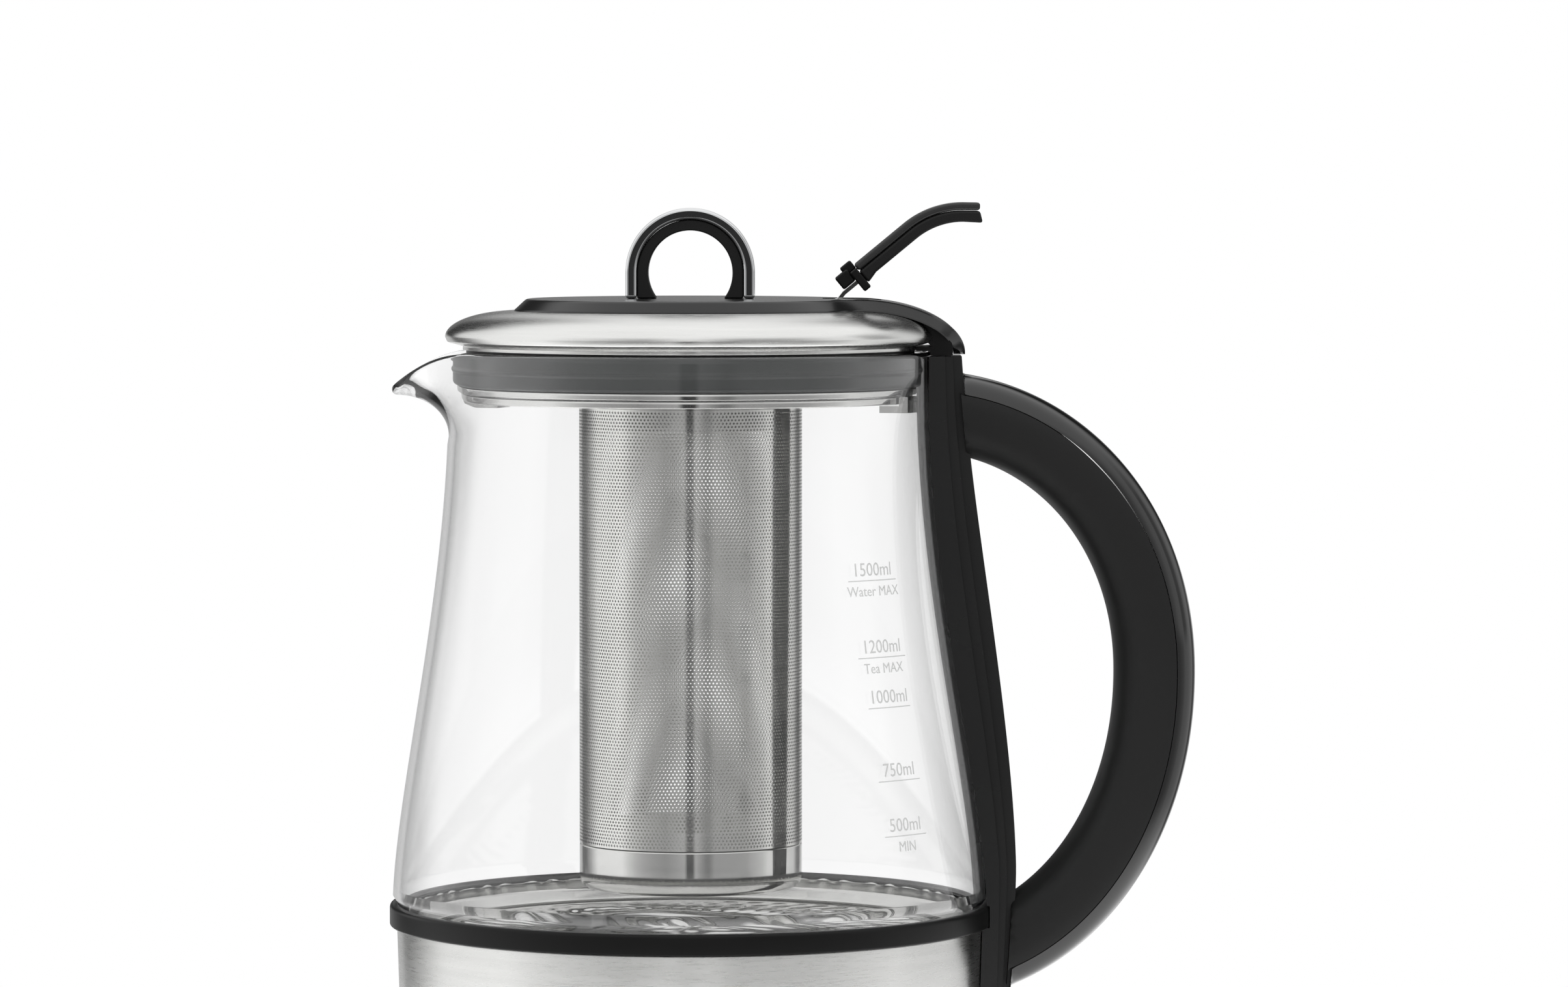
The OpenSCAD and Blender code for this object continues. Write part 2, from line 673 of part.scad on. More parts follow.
module column_cutter(gap) {
    low = grip_z - grip_down - 10;
    side_plate(concat([[0, low - 20], [column_skin(low) + column_depth(bend_z), low - 20]],
        [for (z = [for (l = column_levels()) if (l > foot_low + 1) l])
            [column_skin(z) + column_depth(z) + gap, z]],
        [[column_skin(column_top) + column_t + gap, rim_z + 30], [0, rim_z + 30]]), 60);
}
split_share = 1 - strip_t / grip_t;
gap_share = strip_gap / grip_t;
module handle_grip() {
    f = section_angle(split_share);
    color("#2a2a2a") difference() {
        grip_sweep(f, 360 - f, 16);
        column_cutter(0.1);
    }
}
module handle_strip() {
    f = section_angle(split_share + gap_share);
    color("#101010") difference() {
        grip_sweep(-f, f, 10);
        column_cutter(strip_gap);
    }
}

// ---- Lid ----

dome_arc = dome_r - plate_r;
dome_step = 9;
function dome_line(t, thin) = [plate_r + (dome_arc - thin) * sin(t), dome_z + (dome_h - thin) * cos(t)];
plug_r = seal_r - 3.3;
boss_ring_r = plate_r * 0.66;
plug_top = rim_z + 1.3;
plug_low = rim_z - 9.2;
curl_r = plug_r + 1.3;
lid_screw_len = plate_z - plug_top + 2.6;
curl_t = 1.9;
lid_boss_low = plug_top - curl_t - 3;
module at_bosses() {
    for (i = [0:2]) rotate([0, 0, 100 + i * 80]) translate([boss_ring_r, 0, 0]) children();
}
knob_screw_r = 0.9;
module at_knob_screws() {
    for (x = [-1, 1]) translate([x * (loop_r + core_t / 2), 0, 0]) children();
}
box_x = [pivot_x - 5, 51];
box_half = 9.5;
slot_x = [pivot_x - 3.7, 49.8];
slot_half = lever_w / 2 + 1.1;
pivot_z = plate_top - 2.4;
box_z = pivot_z - 4.6;
module lid_dome() {
    color("#c6c7c5") difference() {
        rotate_extrude($fn = 128) polygon(concat([[0, dome_top]],
            [for (t = [0:dome_step:90]) dome_line(t, 0)],
            [[dome_r - 0.5, dome_z - 1.3], [curl_r, dome_z - 2.4], [curl_r, dome_z - 2.4 + sheet_t],
             [dome_r - 1.4, dome_z - 0.6]],
            [for (t = [90:-dome_step:0]) dome_line(t, sheet_t)], [[0, dome_top - sheet_t]]));
        at_bosses() translate([0, 0, dome_z]) cylinder(r = 3.9, h = dome_h + 1);
        at_knob_screws() translate([0, 0, dome_z]) cylinder(r = knob_screw_r + 0.7, h = dome_h + 1);
        translate([box_x[0] - seat_gap, -box_half - seat_gap, dome_z])
            cube([box_x[1] - box_x[0] + 2 * seat_gap, 2 * box_half + 2 * seat_gap, dome_h + 1]);
    }
}
// The tongue's side view: along the plate, over the dome and down over the column
tongue_end = neck_r + 8.6;
tongue_low = column_top + lift_gap;
function tongue_outline() = let (e = tongue_end, t = plate_top)
    [[20, t - 1.5], [plate_r - 7, t - 0.1], [e - 26, t - 0.2], [e - 19.5, t - 0.9],
     [e - 13, t - 2.4], [e - 8.5, t - 3.8], [e - 4.4, t - 6], [e - 1.7, t - 8.6], [e - 0.5, t - 11],
     [e, tongue_low + 1.6], [e - 0.4, tongue_low], [e - 2.2, tongue_low + 0.4],
     [e - 3.9, tongue_low + 2], [e - 5, tongue_low + 4], [e - 7.4, tongue_low + 4.6],
     [e - 9, dome_z - 0.5], [20, dome_z - 0.5]];
// Half the tongue's width seen from above: a fillet leads from the plate's round
// edge, which it leaves at leave_x, into the straight side, which it meets at meet_x
meet_x = sqrt(pow(plate_r + tongue_fillet, 2) - pow(tongue_w / 2 + tongue_fillet, 2));
leave_x = meet_x * plate_r / (plate_r + tongue_fillet);
function tongue_half(x) =
    tongue_w / 2 + tongue_fillet - sqrt(pow(tongue_fillet, 2) - pow(max(0, meet_x - x), 2));
module tongue_plan() {
    steps = [for (i = [0:8]) mix(leave_x, meet_x, i / 8)];
    linear_extrude(plate_top + 10) polygon(concat([[20, -tongue_w / 2]],
        [for (x = steps) [x, -tongue_half(x)]],
        [[tongue_end - 2.5, -tongue_w / 2], [tongue_end + 1, -tongue_w / 2 + 3.5],
         [tongue_end + 1, tongue_w / 2 - 3.5], [tongue_end - 2.5, tongue_w / 2]],
        [for (x = reverse(steps)) [x, tongue_half(x)]], [[20, tongue_w / 2]]));
}
// The tongue rests on the dome and closes the gap down to the column with a block
tongue_block = min(column_w, tongue_w / 2 - 2) - 1;
module tongue() {
    difference() {
        union() {
            intersection() {
                side_plate(tongue_outline(), 2 * tongue_w);
                tongue_plan();
            }
            translate([neck_r - 8, -tongue_block, tongue_low])
                cube([tongue_end - 3.6 - neck_r + 8, 2 * tongue_block, dome_z - tongue_low]);
        }
        rotate_extrude($fn = 128) polygon(concat([[0, tongue_low - 1],
            [neck_r + lift_gap, tongue_low - 1], [neck_r + lift_gap, dome_z - 2.4],
            [dome_r + 0.15, dome_z - 1]],
            [for (t = [90:-dome_step:0]) dome_line(t, -0.15)], [[0, plate_z + 0.05]]));
    }
}
module lid_plate() {
    color("#1d1d1d") difference() {
        union() {
            translate([0, 0, plate_z])
                cylinder(r1 = plate_r, r2 = plate_r - plate_slope, h = plate_t, $fn = 128);
            tongue();
            translate([box_x[0], -box_half, box_z])
                cube([box_x[1] - box_x[0], 2 * box_half, plate_z + 1 - box_z]);
            at_bosses() translate([0, 0, plug_top + seat_gap])
                cylinder(r = 3.5, h = plate_z + 0.5 - plug_top);
        }
        translate([slot_x[0], -slot_half, pivot_z - 2.7])
            cube([slot_x[1] - slot_x[0], 2 * slot_half, 20]);
        translate([pivot_x, 0, pivot_z]) rotate([90, 0, 0])
            cylinder(r = pin_r, h = 2 * box_half + 1, center = true);
        at_bosses() translate([0, 0, plug_top]) cylinder(r = screw_bore_r, h = 8);
        at_knob_screws() translate([0, 0, plate_z - 1]) cylinder(r = knob_screw_r + 0.2, h = plate_t + 2);
    }
}
module lid_plug() {
    color("#252525") difference() {
        union() {
            translate([0, 0, plug_top - curl_t]) cylinder(r = curl_r - 0.2, h = curl_t);
            translate([0, 0, plug_low]) cylinder(r = plug_r - seat_gap, h = plug_top - plug_low);
        }
        translate([0, 0, plug_low - 1]) cylinder(r = plug_r - 3, h = plug_top - plug_low - 0.9);
        at_bosses() translate([0, 0, plug_top - 4]) cylinder(r = screw_pass_r, h = 6);
    }
    color("#252525") at_bosses() translate([0, 0, lid_boss_low])
        tube(4.4, screw_pass_r, plug_top - curl_t - lid_boss_low + eps);
}
module lid_screws() {
    color("silver") at_bosses() translate([0, 0, lid_boss_low - 1.85]) {
        cylinder(r = screw_head_r, h = 1.8);
        cylinder(r = screw_r, h = lid_screw_len);
    }
}
module lid_gasket() {
    low = plug_low + 0.1;
    top = plug_top - 2;
    lip = rim_z - 4.8;
    body_r = seal_r - 0.5;
    color("#3a3a3a") rotate_extrude($fn = 128) polygon([[plug_r, low], [body_r - 1, low],
        [body_r, low + 1.2], [body_r, lip - 0.7], [seal_r, lip - 0.4], [seal_r, lip + 0.3],
        [body_r, lip + 0.7], [body_r, top - 0.5], [body_r - 0.5, top], [plug_r, top]]);
}
band_r = seal_r - 1.7;
band_h = 1.7;
module plug_ring() {
    top = plug_low - 0.05;
    color("#cfd0ce") rotate_extrude($fn = 128) polygon([[plug_r - 14, top], [band_r, top],
        [band_r, top - band_h], [band_r - sheet_t, top - band_h], [band_r - sheet_t, top - sheet_t],
        [plug_r - 14, top - sheet_t]]);
}

// ---- Tea basket, held by two clips that it turns off ----

rim_top = plug_low - band_h - 0.45;
rim_low = rim_top - 1.8;
rim_band_r = band_r - 1;
clip_angles = [-20, 160];
clip_half = 4.2;
module at_clips(turn = 0) {
    for (a = clip_angles) rotate([0, 0, a + turn]) children();
}
module basket_clips() {
    web_in = rim_band_r + 0.35;
    web_out = seal_r - 0.25;
    hook = rim_low - 2.2;
    color("#8f9193") at_clips() intersection() {
        translate([0, -clip_half, hook]) cube([web_out + 5, 2 * clip_half, plug_low + 1.5 - hook]);
        rotate_extrude($fn = 128) polygon([[web_in - 5, hook], [web_out, hook],
            [web_out, plug_low - 0.6 - band_h + 0.3], [band_r + 0.15, plug_low - 0.2 - band_h],
            [band_r + 0.15, plug_low - 0.1], [web_out, plug_low - 0.1], [web_out, plug_low - 0.05],
            [band_r + 0.1, plug_low - 0.05], [band_r + 0.1, plug_low - 0.35 - band_h],
            [web_in, plug_low - 0.35 - band_h], [web_in, rim_low - 0.4], [web_in - 5, rim_low - 0.4]]);
    }
}
tube_top = rim_low;
basket_low = floor_z + basket_gap;
cup_seam = basket_low + cup_h;
cup_bend = 3.7;
cup_lap = 5;
rim_lap = 7;
module basket_rim() {
    color("#cfd0ce") difference() {
        rotate_extrude($fn = 128) polygon([[basket_r - basket_t * 2 - 0.1, rim_low - rim_lap],
            [basket_r - basket_t - 0.05, rim_low - rim_lap], [basket_r - basket_t - 0.05, rim_low],
            [rim_band_r, rim_low], [rim_band_r, rim_top], [rim_band_r - sheet_t, rim_top],
            [rim_band_r - sheet_t, rim_low + sheet_t], [basket_r - basket_t * 2 - 0.1, rim_low + sheet_t]]);
        at_clips(twist) translate([rim_band_r - 5.6, -clip_half - 1, rim_low - 1])
            cube([20, 2 * clip_half + 2, 10]);
    }
}
module basket_tube() {
    color("#aeb0ae") translate([0, 0, cup_seam + 0.05])
        tube(basket_r, basket_r - basket_t, tube_top - cup_seam - 0.1);
}
module basket_cup() {
    r = basket_r;
    t = basket_t;
    b = cup_bend;
    color("#cfd0ce") rotate_extrude() polygon(concat([[0, basket_low]],
        [for (a = [0:15:90]) [r - b + b * sin(a), basket_low + b - b * cos(a)]],
        [[r, cup_seam], [r - t - 0.05, cup_seam], [r - t - 0.05, cup_seam + cup_lap],
         [r - 2 * t, cup_seam + cup_lap]],
        [for (a = [90:-15:0]) [r - b + (b - 2 * t) * sin(a), basket_low + b - (b - t) * cos(a)]],
        [[0, basket_low + t]]));
}

// ---- Loop knob ----

module arch(inner, outer, width) {
    low = plate_top + 0.05;
    translate([0, 0, loop_z]) rotate([90, 0, 0]) rotate_extrude(angle = 180)
        translate([inner, -width / 2]) square([outer - inner, width]);
    for (x = [-outer, inner]) translate([x, -width / 2, low])
        cube([outer - inner, width, loop_z - low]);
}
// The core's opening is a full circle that the plate cuts off below
knob_bite = 5;
module loop_core() {
    out = loop_r + core_t;
    low = plate_top + 0.05;
    color("#1a1a1a") difference() {
        arch(0, out, loop_w - 2);
        translate([0, 0, loop_z]) rotate([90, 0, 0]) cylinder(r = loop_r, h = loop_w, center = true);
        at_knob_screws() translate([0, 0, low - 1]) cylinder(r = knob_screw_r + 0.05, h = knob_bite + 1);
    }
}
module loop_trim() {
    inner = loop_r + core_t + 0.05;
    color("#e3e4e4") arch(inner, inner + trim_t, loop_w);
}
module knob_screws() {
    under = dome_top - sheet_t;
    color("silver") at_knob_screws() {
        translate([0, 0, under - 1.3]) cylinder(r = 2.2, h = 1.2);
        translate([0, 0, under - 0.2])
            cylinder(r = knob_screw_r, h = plate_top - under + knob_bite - sheet_t);
    }
}

// ---- Lever ----

// The lever's own line: the start of its straight part, from the pivot
root = [pivot_x + 5.7, pivot_z + 9.5];
function along(u, n) = root + u * [cos(lever_angle), sin(lever_angle)]
    + n * [-sin(lever_angle), cos(lever_angle)];
bend_centre = along(lever_straight, -lever_bend_r);
lever_tip = 4.4;
lever_path = concat([along(0, 0), along(lever_straight / 2, 0)],
    [for (t = [0:0.2:1]) let (a = lever_angle * (1 - t)) bend_centre + lever_bend_r * [-sin(a), cos(a)]],
    [bend_centre + [lever_tip, lever_bend_r - 0.05]]);
upper_t = 2.1;
lower_t = 3;
arm_t = 1;
arm_n = -1.95;
arm_w = lever_w - 3;
arm_path = [[pivot_x, pivot_z], [pivot_x + 0.3, pivot_z + 1.8], along(-6.6, arm_n), along(8, arm_n)];
module arm_slot() {
    side_plate(band(arm_path, -arm_t / 2 - seat_gap, arm_t / 2 + seat_gap), arm_w + 2 * seat_gap);
    translate([along(8, arm_n)[0], 0, along(8, arm_n)[1]]) rotate([90, 0, 0])
        cylinder(r = arm_t / 2 + seat_gap, h = arm_w + 2 * seat_gap, center = true);
}
module lever_arm() {
    color("#b5b6b4") difference() {
        union() {
            side_plate(band(arm_path, -arm_t / 2, arm_t / 2), arm_w);
            translate([pivot_x, 0, pivot_z]) rotate([90, 0, 0])
                cylinder(r = pin_r + 1.1, h = arm_w, center = true);
        }
        translate([pivot_x, 0, pivot_z]) rotate([90, 0, 0])
            cylinder(r = pin_r + pin_gap, h = arm_w + 1, center = true);
    }
}
module lever_pin() {
    color("silver") translate([pivot_x, 0, pivot_z]) rotate([90, 0, 0])
        cylinder(r = pin_r, h = 2 * box_half - 0.6, center = true);
}
module lever_block(u, n, half) {
    side_plate([along(u[0], n[0]), along(u[1], n[0]), along(u[1], n[1]), along(u[0], n[1])], 2 * half);
}
module lever_collar() {
    half = lever_w / 2;
    color("#191919") difference() {
        union() {
            lever_block([-6.1, -2.1], [-1.3, 2.5], half - 0.8);
            lever_block([-2.2, -0.05], [-5.1, 1.2], half + 0.5);
            lever_block([-3.5, -0.05], [1, 3.7], half - 3);
        }
        arm_slot();
    }
}
module lever_grip_upper() {
    color("#161616") side_plate(band(lever_path, 0.05, upper_t), lever_w);
}
module lever_grip_lower() {
    line = offset_path(lever_path, -lower_t);
    low = concat([along(0, -lower_t - 0.9)], [for (i = [1:len(line) - 2]) line[i]],
        [line[len(line) - 1] + [0.8, -0.2]]);
    color("#1f1f1f") difference() {
        side_plate(concat(low, reverse(offset_path(lever_path, -0.05))), lever_w);
        arm_slot();
    }
}

base_housing();
base_bottom();
foot_ring();
front_feet();
base_connector();
base_contacts();
cord_bush();
display_window();
display_module();
control_board();
base_screws();
button_start();
button_warm();
button_minus();
button_plus();
button_tea();
bottom_cover();
steel_shell();
collar_ring();
floor_plate();
heat_plate();
heating_element();
thermostat();
jug_socket();
jug_contacts();
jug_screws();
glass_seal();
glass_body();
handle_column();
handle_grip();
handle_strip();
handle_screws();
lid_dome();
lid_plate();
lid_plug();
lid_gasket();
plug_ring();
basket_clips();
lid_screws();
loop_core();
loop_trim();
knob_screws();
lever_pin();
lever_arm();
lever_collar();
lever_grip_upper();
lever_grip_lower();
basket_rim();
basket_tube();
basket_cup();
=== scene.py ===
# %% [markdown]
# # An automatic tea maker in Blender
#
# The object is a glass jug on a steel heating foot. A lift-off lid carries a
# perforated tea basket, a bright loop to lift it by and a small folding lever, and
# the jug stands on a power base with a sloped control deck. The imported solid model
# is the fixed frame: every new surface below is worked out in its millimetres.

# %% Load the frame and keep its box
import json

import bmesh
import bpy
import numpy as np
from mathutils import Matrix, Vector


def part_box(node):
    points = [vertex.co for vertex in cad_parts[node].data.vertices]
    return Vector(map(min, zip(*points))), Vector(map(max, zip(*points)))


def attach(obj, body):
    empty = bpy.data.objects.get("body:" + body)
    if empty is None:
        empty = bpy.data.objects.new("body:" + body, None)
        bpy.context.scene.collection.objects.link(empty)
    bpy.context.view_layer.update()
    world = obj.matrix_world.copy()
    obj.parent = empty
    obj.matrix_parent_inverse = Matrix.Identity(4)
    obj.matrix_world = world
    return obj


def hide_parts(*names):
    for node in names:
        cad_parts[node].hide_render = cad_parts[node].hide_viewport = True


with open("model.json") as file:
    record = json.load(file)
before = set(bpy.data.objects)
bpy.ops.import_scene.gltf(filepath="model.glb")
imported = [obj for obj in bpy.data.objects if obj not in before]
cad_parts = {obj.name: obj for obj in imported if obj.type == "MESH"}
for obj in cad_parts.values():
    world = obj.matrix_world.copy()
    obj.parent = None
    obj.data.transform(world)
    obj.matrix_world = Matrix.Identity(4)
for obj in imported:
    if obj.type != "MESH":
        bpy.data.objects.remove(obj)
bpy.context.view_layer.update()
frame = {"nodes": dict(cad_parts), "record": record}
MM = 0.001
print(len(frame["nodes"]), "solids loaded")

# %% [markdown]
# Sizes come from the solids, so that a piece drawn here still fits if a solid is
# changed. Sizes that no box shows are written down, in millimetres.


# %% Measure the solids
def span(node):
    """Lowest and highest corner of a solid, in millimetres."""
    low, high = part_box(node)
    return np.array(low) / MM, np.array(high) / MM


ring_low, ring_high = span("collar_ring")
glass_low, glass_high = span("glass_body")
gasket_low, gasket_high = span("lid_gasket")
shell_low, shell_high = span("steel_shell")
plate_high, dome_high, tube_high = (span(node)[1] for node in ("lid_plate", "lid_dome", "basket_tube"))
cup_low, cup_high = span("basket_cup")
rim_low, rim_high = span("basket_rim")
column_low, column_high = span("handle_column")

# Glass wall, gap round the plug, steel sheet, and gap between pieces that touch
GLASS_WALL, PLUG_GAP, SHEET, SEAT_GAP = 2.0, 0.4, 0.8, 0.1
ring_z, ring_top, ring_r = ring_low[2], ring_high[2], ring_high[1]
rim_z, belly_r, lip_tip = glass_high[2], glass_high[1], -glass_low[0]
seal_r = gasket_high[1]
neck_r = seal_r + PLUG_GAP + GLASS_WALL
belly_z, waist_z, lip_z = ring_z + 6, rim_z - 8.6, rim_z - 22
plate_top = plate_high[2]
print("glass rim at", round(rim_z, 1), "mm, neck radius", round(neck_r, 1), "mm")

# %% [markdown]
# ## Camera
#
# The camera stands where the photograph was taken from: level with the lid, well
# back, and tilted a little down. A long lens keeps the jug's sides near parallel.


# %% Place the camera
def new_object(name, data):
    """An object of the scene that holds this data."""
    thing = bpy.data.objects.new(name, data)
    scene.collection.objects.link(thing)
    return thing


scene = bpy.context.scene
CAMERA_AT = (24.4, -1760.0, 266.5)
CAMERA_AIM = (24.4, 0.0, 182.4)
LENS = 154.8

camera_data = bpy.data.cameras.new("camera")
camera_data.lens = LENS
camera_data.sensor_width = 36
camera = new_object("camera", camera_data)
camera.location = Vector(CAMERA_AT) * MM
line_of_sight = Vector(CAMERA_AIM) - Vector(CAMERA_AT)
camera.rotation_euler = line_of_sight.to_track_quat("-Z", "Y").to_euler()
scene.camera = camera
scene.view_settings.view_transform = "Standard"
print("camera", round(line_of_sight.length / 1000, 2), "m from what it looks at")

# %% [markdown]
# A finish is a small graph of shader nodes. One function adds a node, sets it up
# and links it, and one function turns the hex colours of a paint chart into the
# linear light that the renderer works in.


# %% Helpers for finishes
WHITE = (1, 1, 1, 1)


def add(tree, kind, inputs=(), **settings):
    """Adds a shader node, sets it up, and sets or links its inputs, which are named by
    key or number. A node given as an input is linked by its first output in use."""
    node = tree.nodes.new("ShaderNode" + kind)
    for key, value in settings.items():
        setattr(node, key, value)
    for key, value in dict(inputs).items():
        if isinstance(value, bpy.types.Node):
            value = next(socket for socket in value.outputs if socket.enabled)
        if isinstance(value, bpy.types.NodeSocket):
            tree.links.new(value, node.inputs[key])
        else:
            node.inputs[key].default_value = value
    return node


def linear(hex_colour):
    """Linear red, green, blue and alpha of an sRGB hex colour."""
    c = np.array([int(hex_colour[i : i + 2], 16) for i in (1, 3, 5)]) / 255
    return (*np.where(c <= 0.04045, c / 12.92, ((c + 0.055) / 1.055) ** 2.4), 1.0)


def new_material(name):
    """A material with an empty graph, and that graph."""
    material = bpy.data.materials.new(name)
    material.use_nodes = True
    material.node_tree.nodes.clear()
    print("finish:", name)
    return material, material.node_tree


def output(tree, shader):
    """Ends a material's graph with its surface."""
    add(tree, "OutputMaterial", {"Surface": shader})


print("white is", linear("#ffffff")[:3], "and mid grey", round(linear("#808080")[0], 3))


# %% [markdown]
# ## Light
#
# The object was photographed on white, between large soft boxes. The camera, and
# light that passes through glass, see a white world. Mirror-like surfaces see the
# same room with its darker corners, which is what draws the edges of glass and the
# soft bands on steel.

# %% Directions in the room
world = bpy.data.worlds.new("studio")
world.use_nodes = True
scene.world = world
room = world.node_tree
room.nodes.clear()

# Place round the room seen from above: 0.5 in front, 0 and 1 behind, left below 0.5
direction = add(room, "TexCoord").outputs["Generated"]
parts = add(room, "SeparateXYZ", {0: direction})
minus_y = add(room, "Math", {0: parts.outputs["Y"], 1: -1.0}, operation="MULTIPLY")
turn = add(room, "Math", {0: parts.outputs["X"], 1: minus_y}, operation="ARCTAN2")
place = add(room, "Math", {0: turn, 1: 0.5 / np.pi, 2: 0.5}, operation="MULTIPLY_ADD")
rays = add(room, "LightPath")
print(len(room.nodes), "nodes find where in the room a look goes")

# %% [markdown]
# Upright surfaces mirror what stands level with the object: the two front boxes with
# the dark camera between them. Sloping ones mirror the room above it, which is dark
# behind on both sides of a narrow bright window.

# %% Walls of the room
FRONT_LEFT = [(0.19, 0.95), (0.3, 1.0), (0.37, 0.75), (0.44, 0.4)]
FRONT_RIGHT = [(0.575, 0.35), (0.64, 0.45), (0.7, 0.85), (0.745, 0.85), (0.765, 0.4), (0.8, 0.4),
               (0.83, 0.7), (0.87, 0.65)]
HIGH_LEVELS = [(0.0, 0.8), (0.014, 0.75), (0.026, 0.03), (0.085, 0.03), (0.11, 0.8), *FRONT_LEFT,
               (0.5, 0.9), *FRONT_RIGHT, (0.9, 0.3), (0.93, 0.03), (0.974, 0.03), (0.986, 0.75), (1.0, 0.8)]
LOW_LEVELS = [
    (0.0, 0.9), (0.015, 0.6), (0.07, 0.5), (0.085, 0.13), (0.12, 0.13), (0.15, 0.4),
    (0.19, 0.95), (0.29, 1.0), (0.315, 0.75), (0.34, 0.55), (0.364, 0.43), (0.387, 0.36),
    (0.43, 0.28), (0.485, 0.4), (0.492, 0.03), (0.508, 0.03), (0.515, 0.42), (0.545, 0.18),
    (0.555, 0.18), (0.57, 0.33), (0.667, 0.36), (0.725, 0.6), (0.745, 0.8), (0.8, 0.75),
    (0.87, 0.65), (0.9, 0.15), (0.925, 0.15), (0.94, 0.5), (1.0, 0.9)]


def fill_ramp(ramp, levels):
    """Gives a grey ramp its (place, level) stops."""
    while len(ramp.elements) < len(levels):
        ramp.elements.new(0.5)
    for element, (place, level) in zip(ramp.elements, levels):
        element.position = place
        element.color = (level, level, level, 1)


low_walls = add(room, "ValToRGB", {"Fac": place})
fill_ramp(low_walls.color_ramp, LOW_LEVELS)
high_walls = add(room, "ValToRGB", {"Fac": place})
fill_ramp(high_walls.color_ramp, HIGH_LEVELS)
# Seen through glass the upper room is hazy
HAZE = 0.45
through = add(room, "Math", {0: rays.outputs["Transmission Depth"], 1: 1.0}, operation="MINIMUM")
haze = add(room, "Math", {0: through, 1: HAZE}, operation="MULTIPLY")
upper = add(room, "Mix", {0: haze, 6: high_walls, 7: WHITE}, data_type="RGBA")
higher = add(room, "MapRange", {"Value": parts.outputs["Z"], "From Min": 0.0, "From Max": 0.05})
walls = add(room, "Mix", {0: higher, 6: low_walls, 7: upper}, data_type="RGBA")
print(len(LOW_LEVELS), "grey levels round the room below and", len(HIGH_LEVELS), "above")

# %% [markdown]
# The polished floor of the jug mirrors a grey curtain that hangs low down straight
# behind, and domed steel mirrors the large box overhead.

# %% Curtain and overhead box
CURTAIN_GREY, CURTAIN_EDGE = 0.16, 0.46
curtain = add(room, "ValToRGB", {"Fac": parts.outputs["Z"]})
fill_ramp(curtain.color_ramp, [(0.02, 0.0), (0.05, 1.0), (0.16, 1.0), (0.22, 0.0)])
off_curtain = add(room, "Math", {0: place, 1: 0.5, 2: CURTAIN_EDGE}, operation="COMPARE")
behind = add(room, "Math", {0: 1.0, 1: off_curtain}, operation="SUBTRACT")
hung = add(room, "Math", {0: curtain, 1: behind}, operation="MULTIPLY")
curtained = add(room, "Mix", {0: hung, 6: walls, 7: (CURTAIN_GREY,) * 3 + (1,)}, data_type="RGBA")
rise = add(room, "MapRange", {"Value": parts.outputs["Z"], "From Min": 0.48, "From Max": 0.68})
mirrored = add(room, "Mix", {0: rise, 6: curtained, 7: WHITE}, data_type="RGBA")
print("the curtain covers", round(360 * (1 - 2 * CURTAIN_EDGE)), "degrees behind the object")

# %% [markdown]
# A look that has been mirrored once sees the room, even when it then passes through
# glass. A direct look, or one through glass alone, sees white. What the glass wall
# mirrors inside itself is seen through a veil of white, so that its edges stay soft.

# %% Who sees what
WORLD_FILL = 0.5
VEIL = 0.45
inside_wall = add(room, "Math", {0: rays.outputs["Transmission Depth"], 1: 2.0, 2: 1.5},
                  operation="COMPARE")
veil = add(room, "Math", {0: inside_wall, 1: VEIL}, operation="MULTIPLY")
veiled = add(room, "Mix", {0: veil, 6: mirrored, 7: WHITE}, data_type="RGBA")
bounced = add(room, "Math", {0: rays.outputs["Glossy Depth"], 1: 1.0}, operation="MINIMUM")
seen = add(room, "Mix", {0: bounced, 6: (WORLD_FILL,) * 3 + (1,), 7: veiled}, data_type="RGBA")
straight = add(room, "Math", {0: rays.outputs["Is Camera Ray"], 1: rays.outputs["Is Transmission Ray"]},
               operation="MAXIMUM")
bounces = add(room, "Math", {0: rays.outputs["Glossy Depth"], 1: rays.outputs["Diffuse Depth"]},
              operation="ADD")
unbounced = add(room, "Math", {0: bounces, 1: 0.5}, operation="LESS_THAN")
direct = add(room, "Math", {0: straight, 1: unbounced}, operation="MULTIPLY")
level = add(room, "Mix", {0: direct, 6: seen, 7: WHITE}, data_type="RGBA")
background = add(room, "Background", {"Color": level, "Strength": 1.0})
add(room, "OutputWorld", {"Surface": background})
print(len(room.nodes), "nodes in the room")

# %% [markdown]
# Three area lamps light what isn't mirror-like. Metal and glass don't see them,
# because the room already holds the boxes that they should mirror.

# %% Soft boxes
def soft_box(name, place, aim, size, power):
    """An area lamp, placed and sized in metres, that looks at a point."""
    data = bpy.data.lights.new(name, "AREA")
    data.shape = "RECTANGLE"
    data.size, data.size_y = size
    data.energy = power
    lamp = new_object(name, data)
    lamp.location = place
    lamp.rotation_euler = (Vector(aim) - Vector(place)).to_track_quat("-Z", "Y").to_euler()
    lamp.visible_camera = lamp.visible_transmission = lamp.visible_glossy = False
    print(name, power, "W")


MIDDLE = (0.02, 0.0, 0.14)
soft_box("left_box", (-1.15, -1.35, 0.75), MIDDLE, (0.8, 1.3), 18)
soft_box("right_box", (1.35, -1.0, 0.65), MIDDLE, (0.6, 1.2), 11)
soft_box("top_box", (0.1, -0.2, 1.5), MIDDLE, (1.2, 0.9), 14)

# %% [markdown]
# The object stands on white paper. The paper's own colour holds the shadow, and a
# glow on top of it that only direct looks see keeps the rest of it as white as the
# world. Far out a mirrored look passes through it to the dark and bright parts of
# the room.

# %% The paper sweep
REACH = 6.0
PAPER_NEAR, PAPER_FAR = 0.18, 0.42
floor_mesh = bpy.data.meshes.new("floor")
floor_mesh.from_pydata([(-REACH, -REACH, 0), (REACH, -REACH, 0), (REACH, REACH, 0),
                        (-REACH, REACH, 0)], [], [(0, 1, 2, 3)])
new_object("floor", floor_mesh)

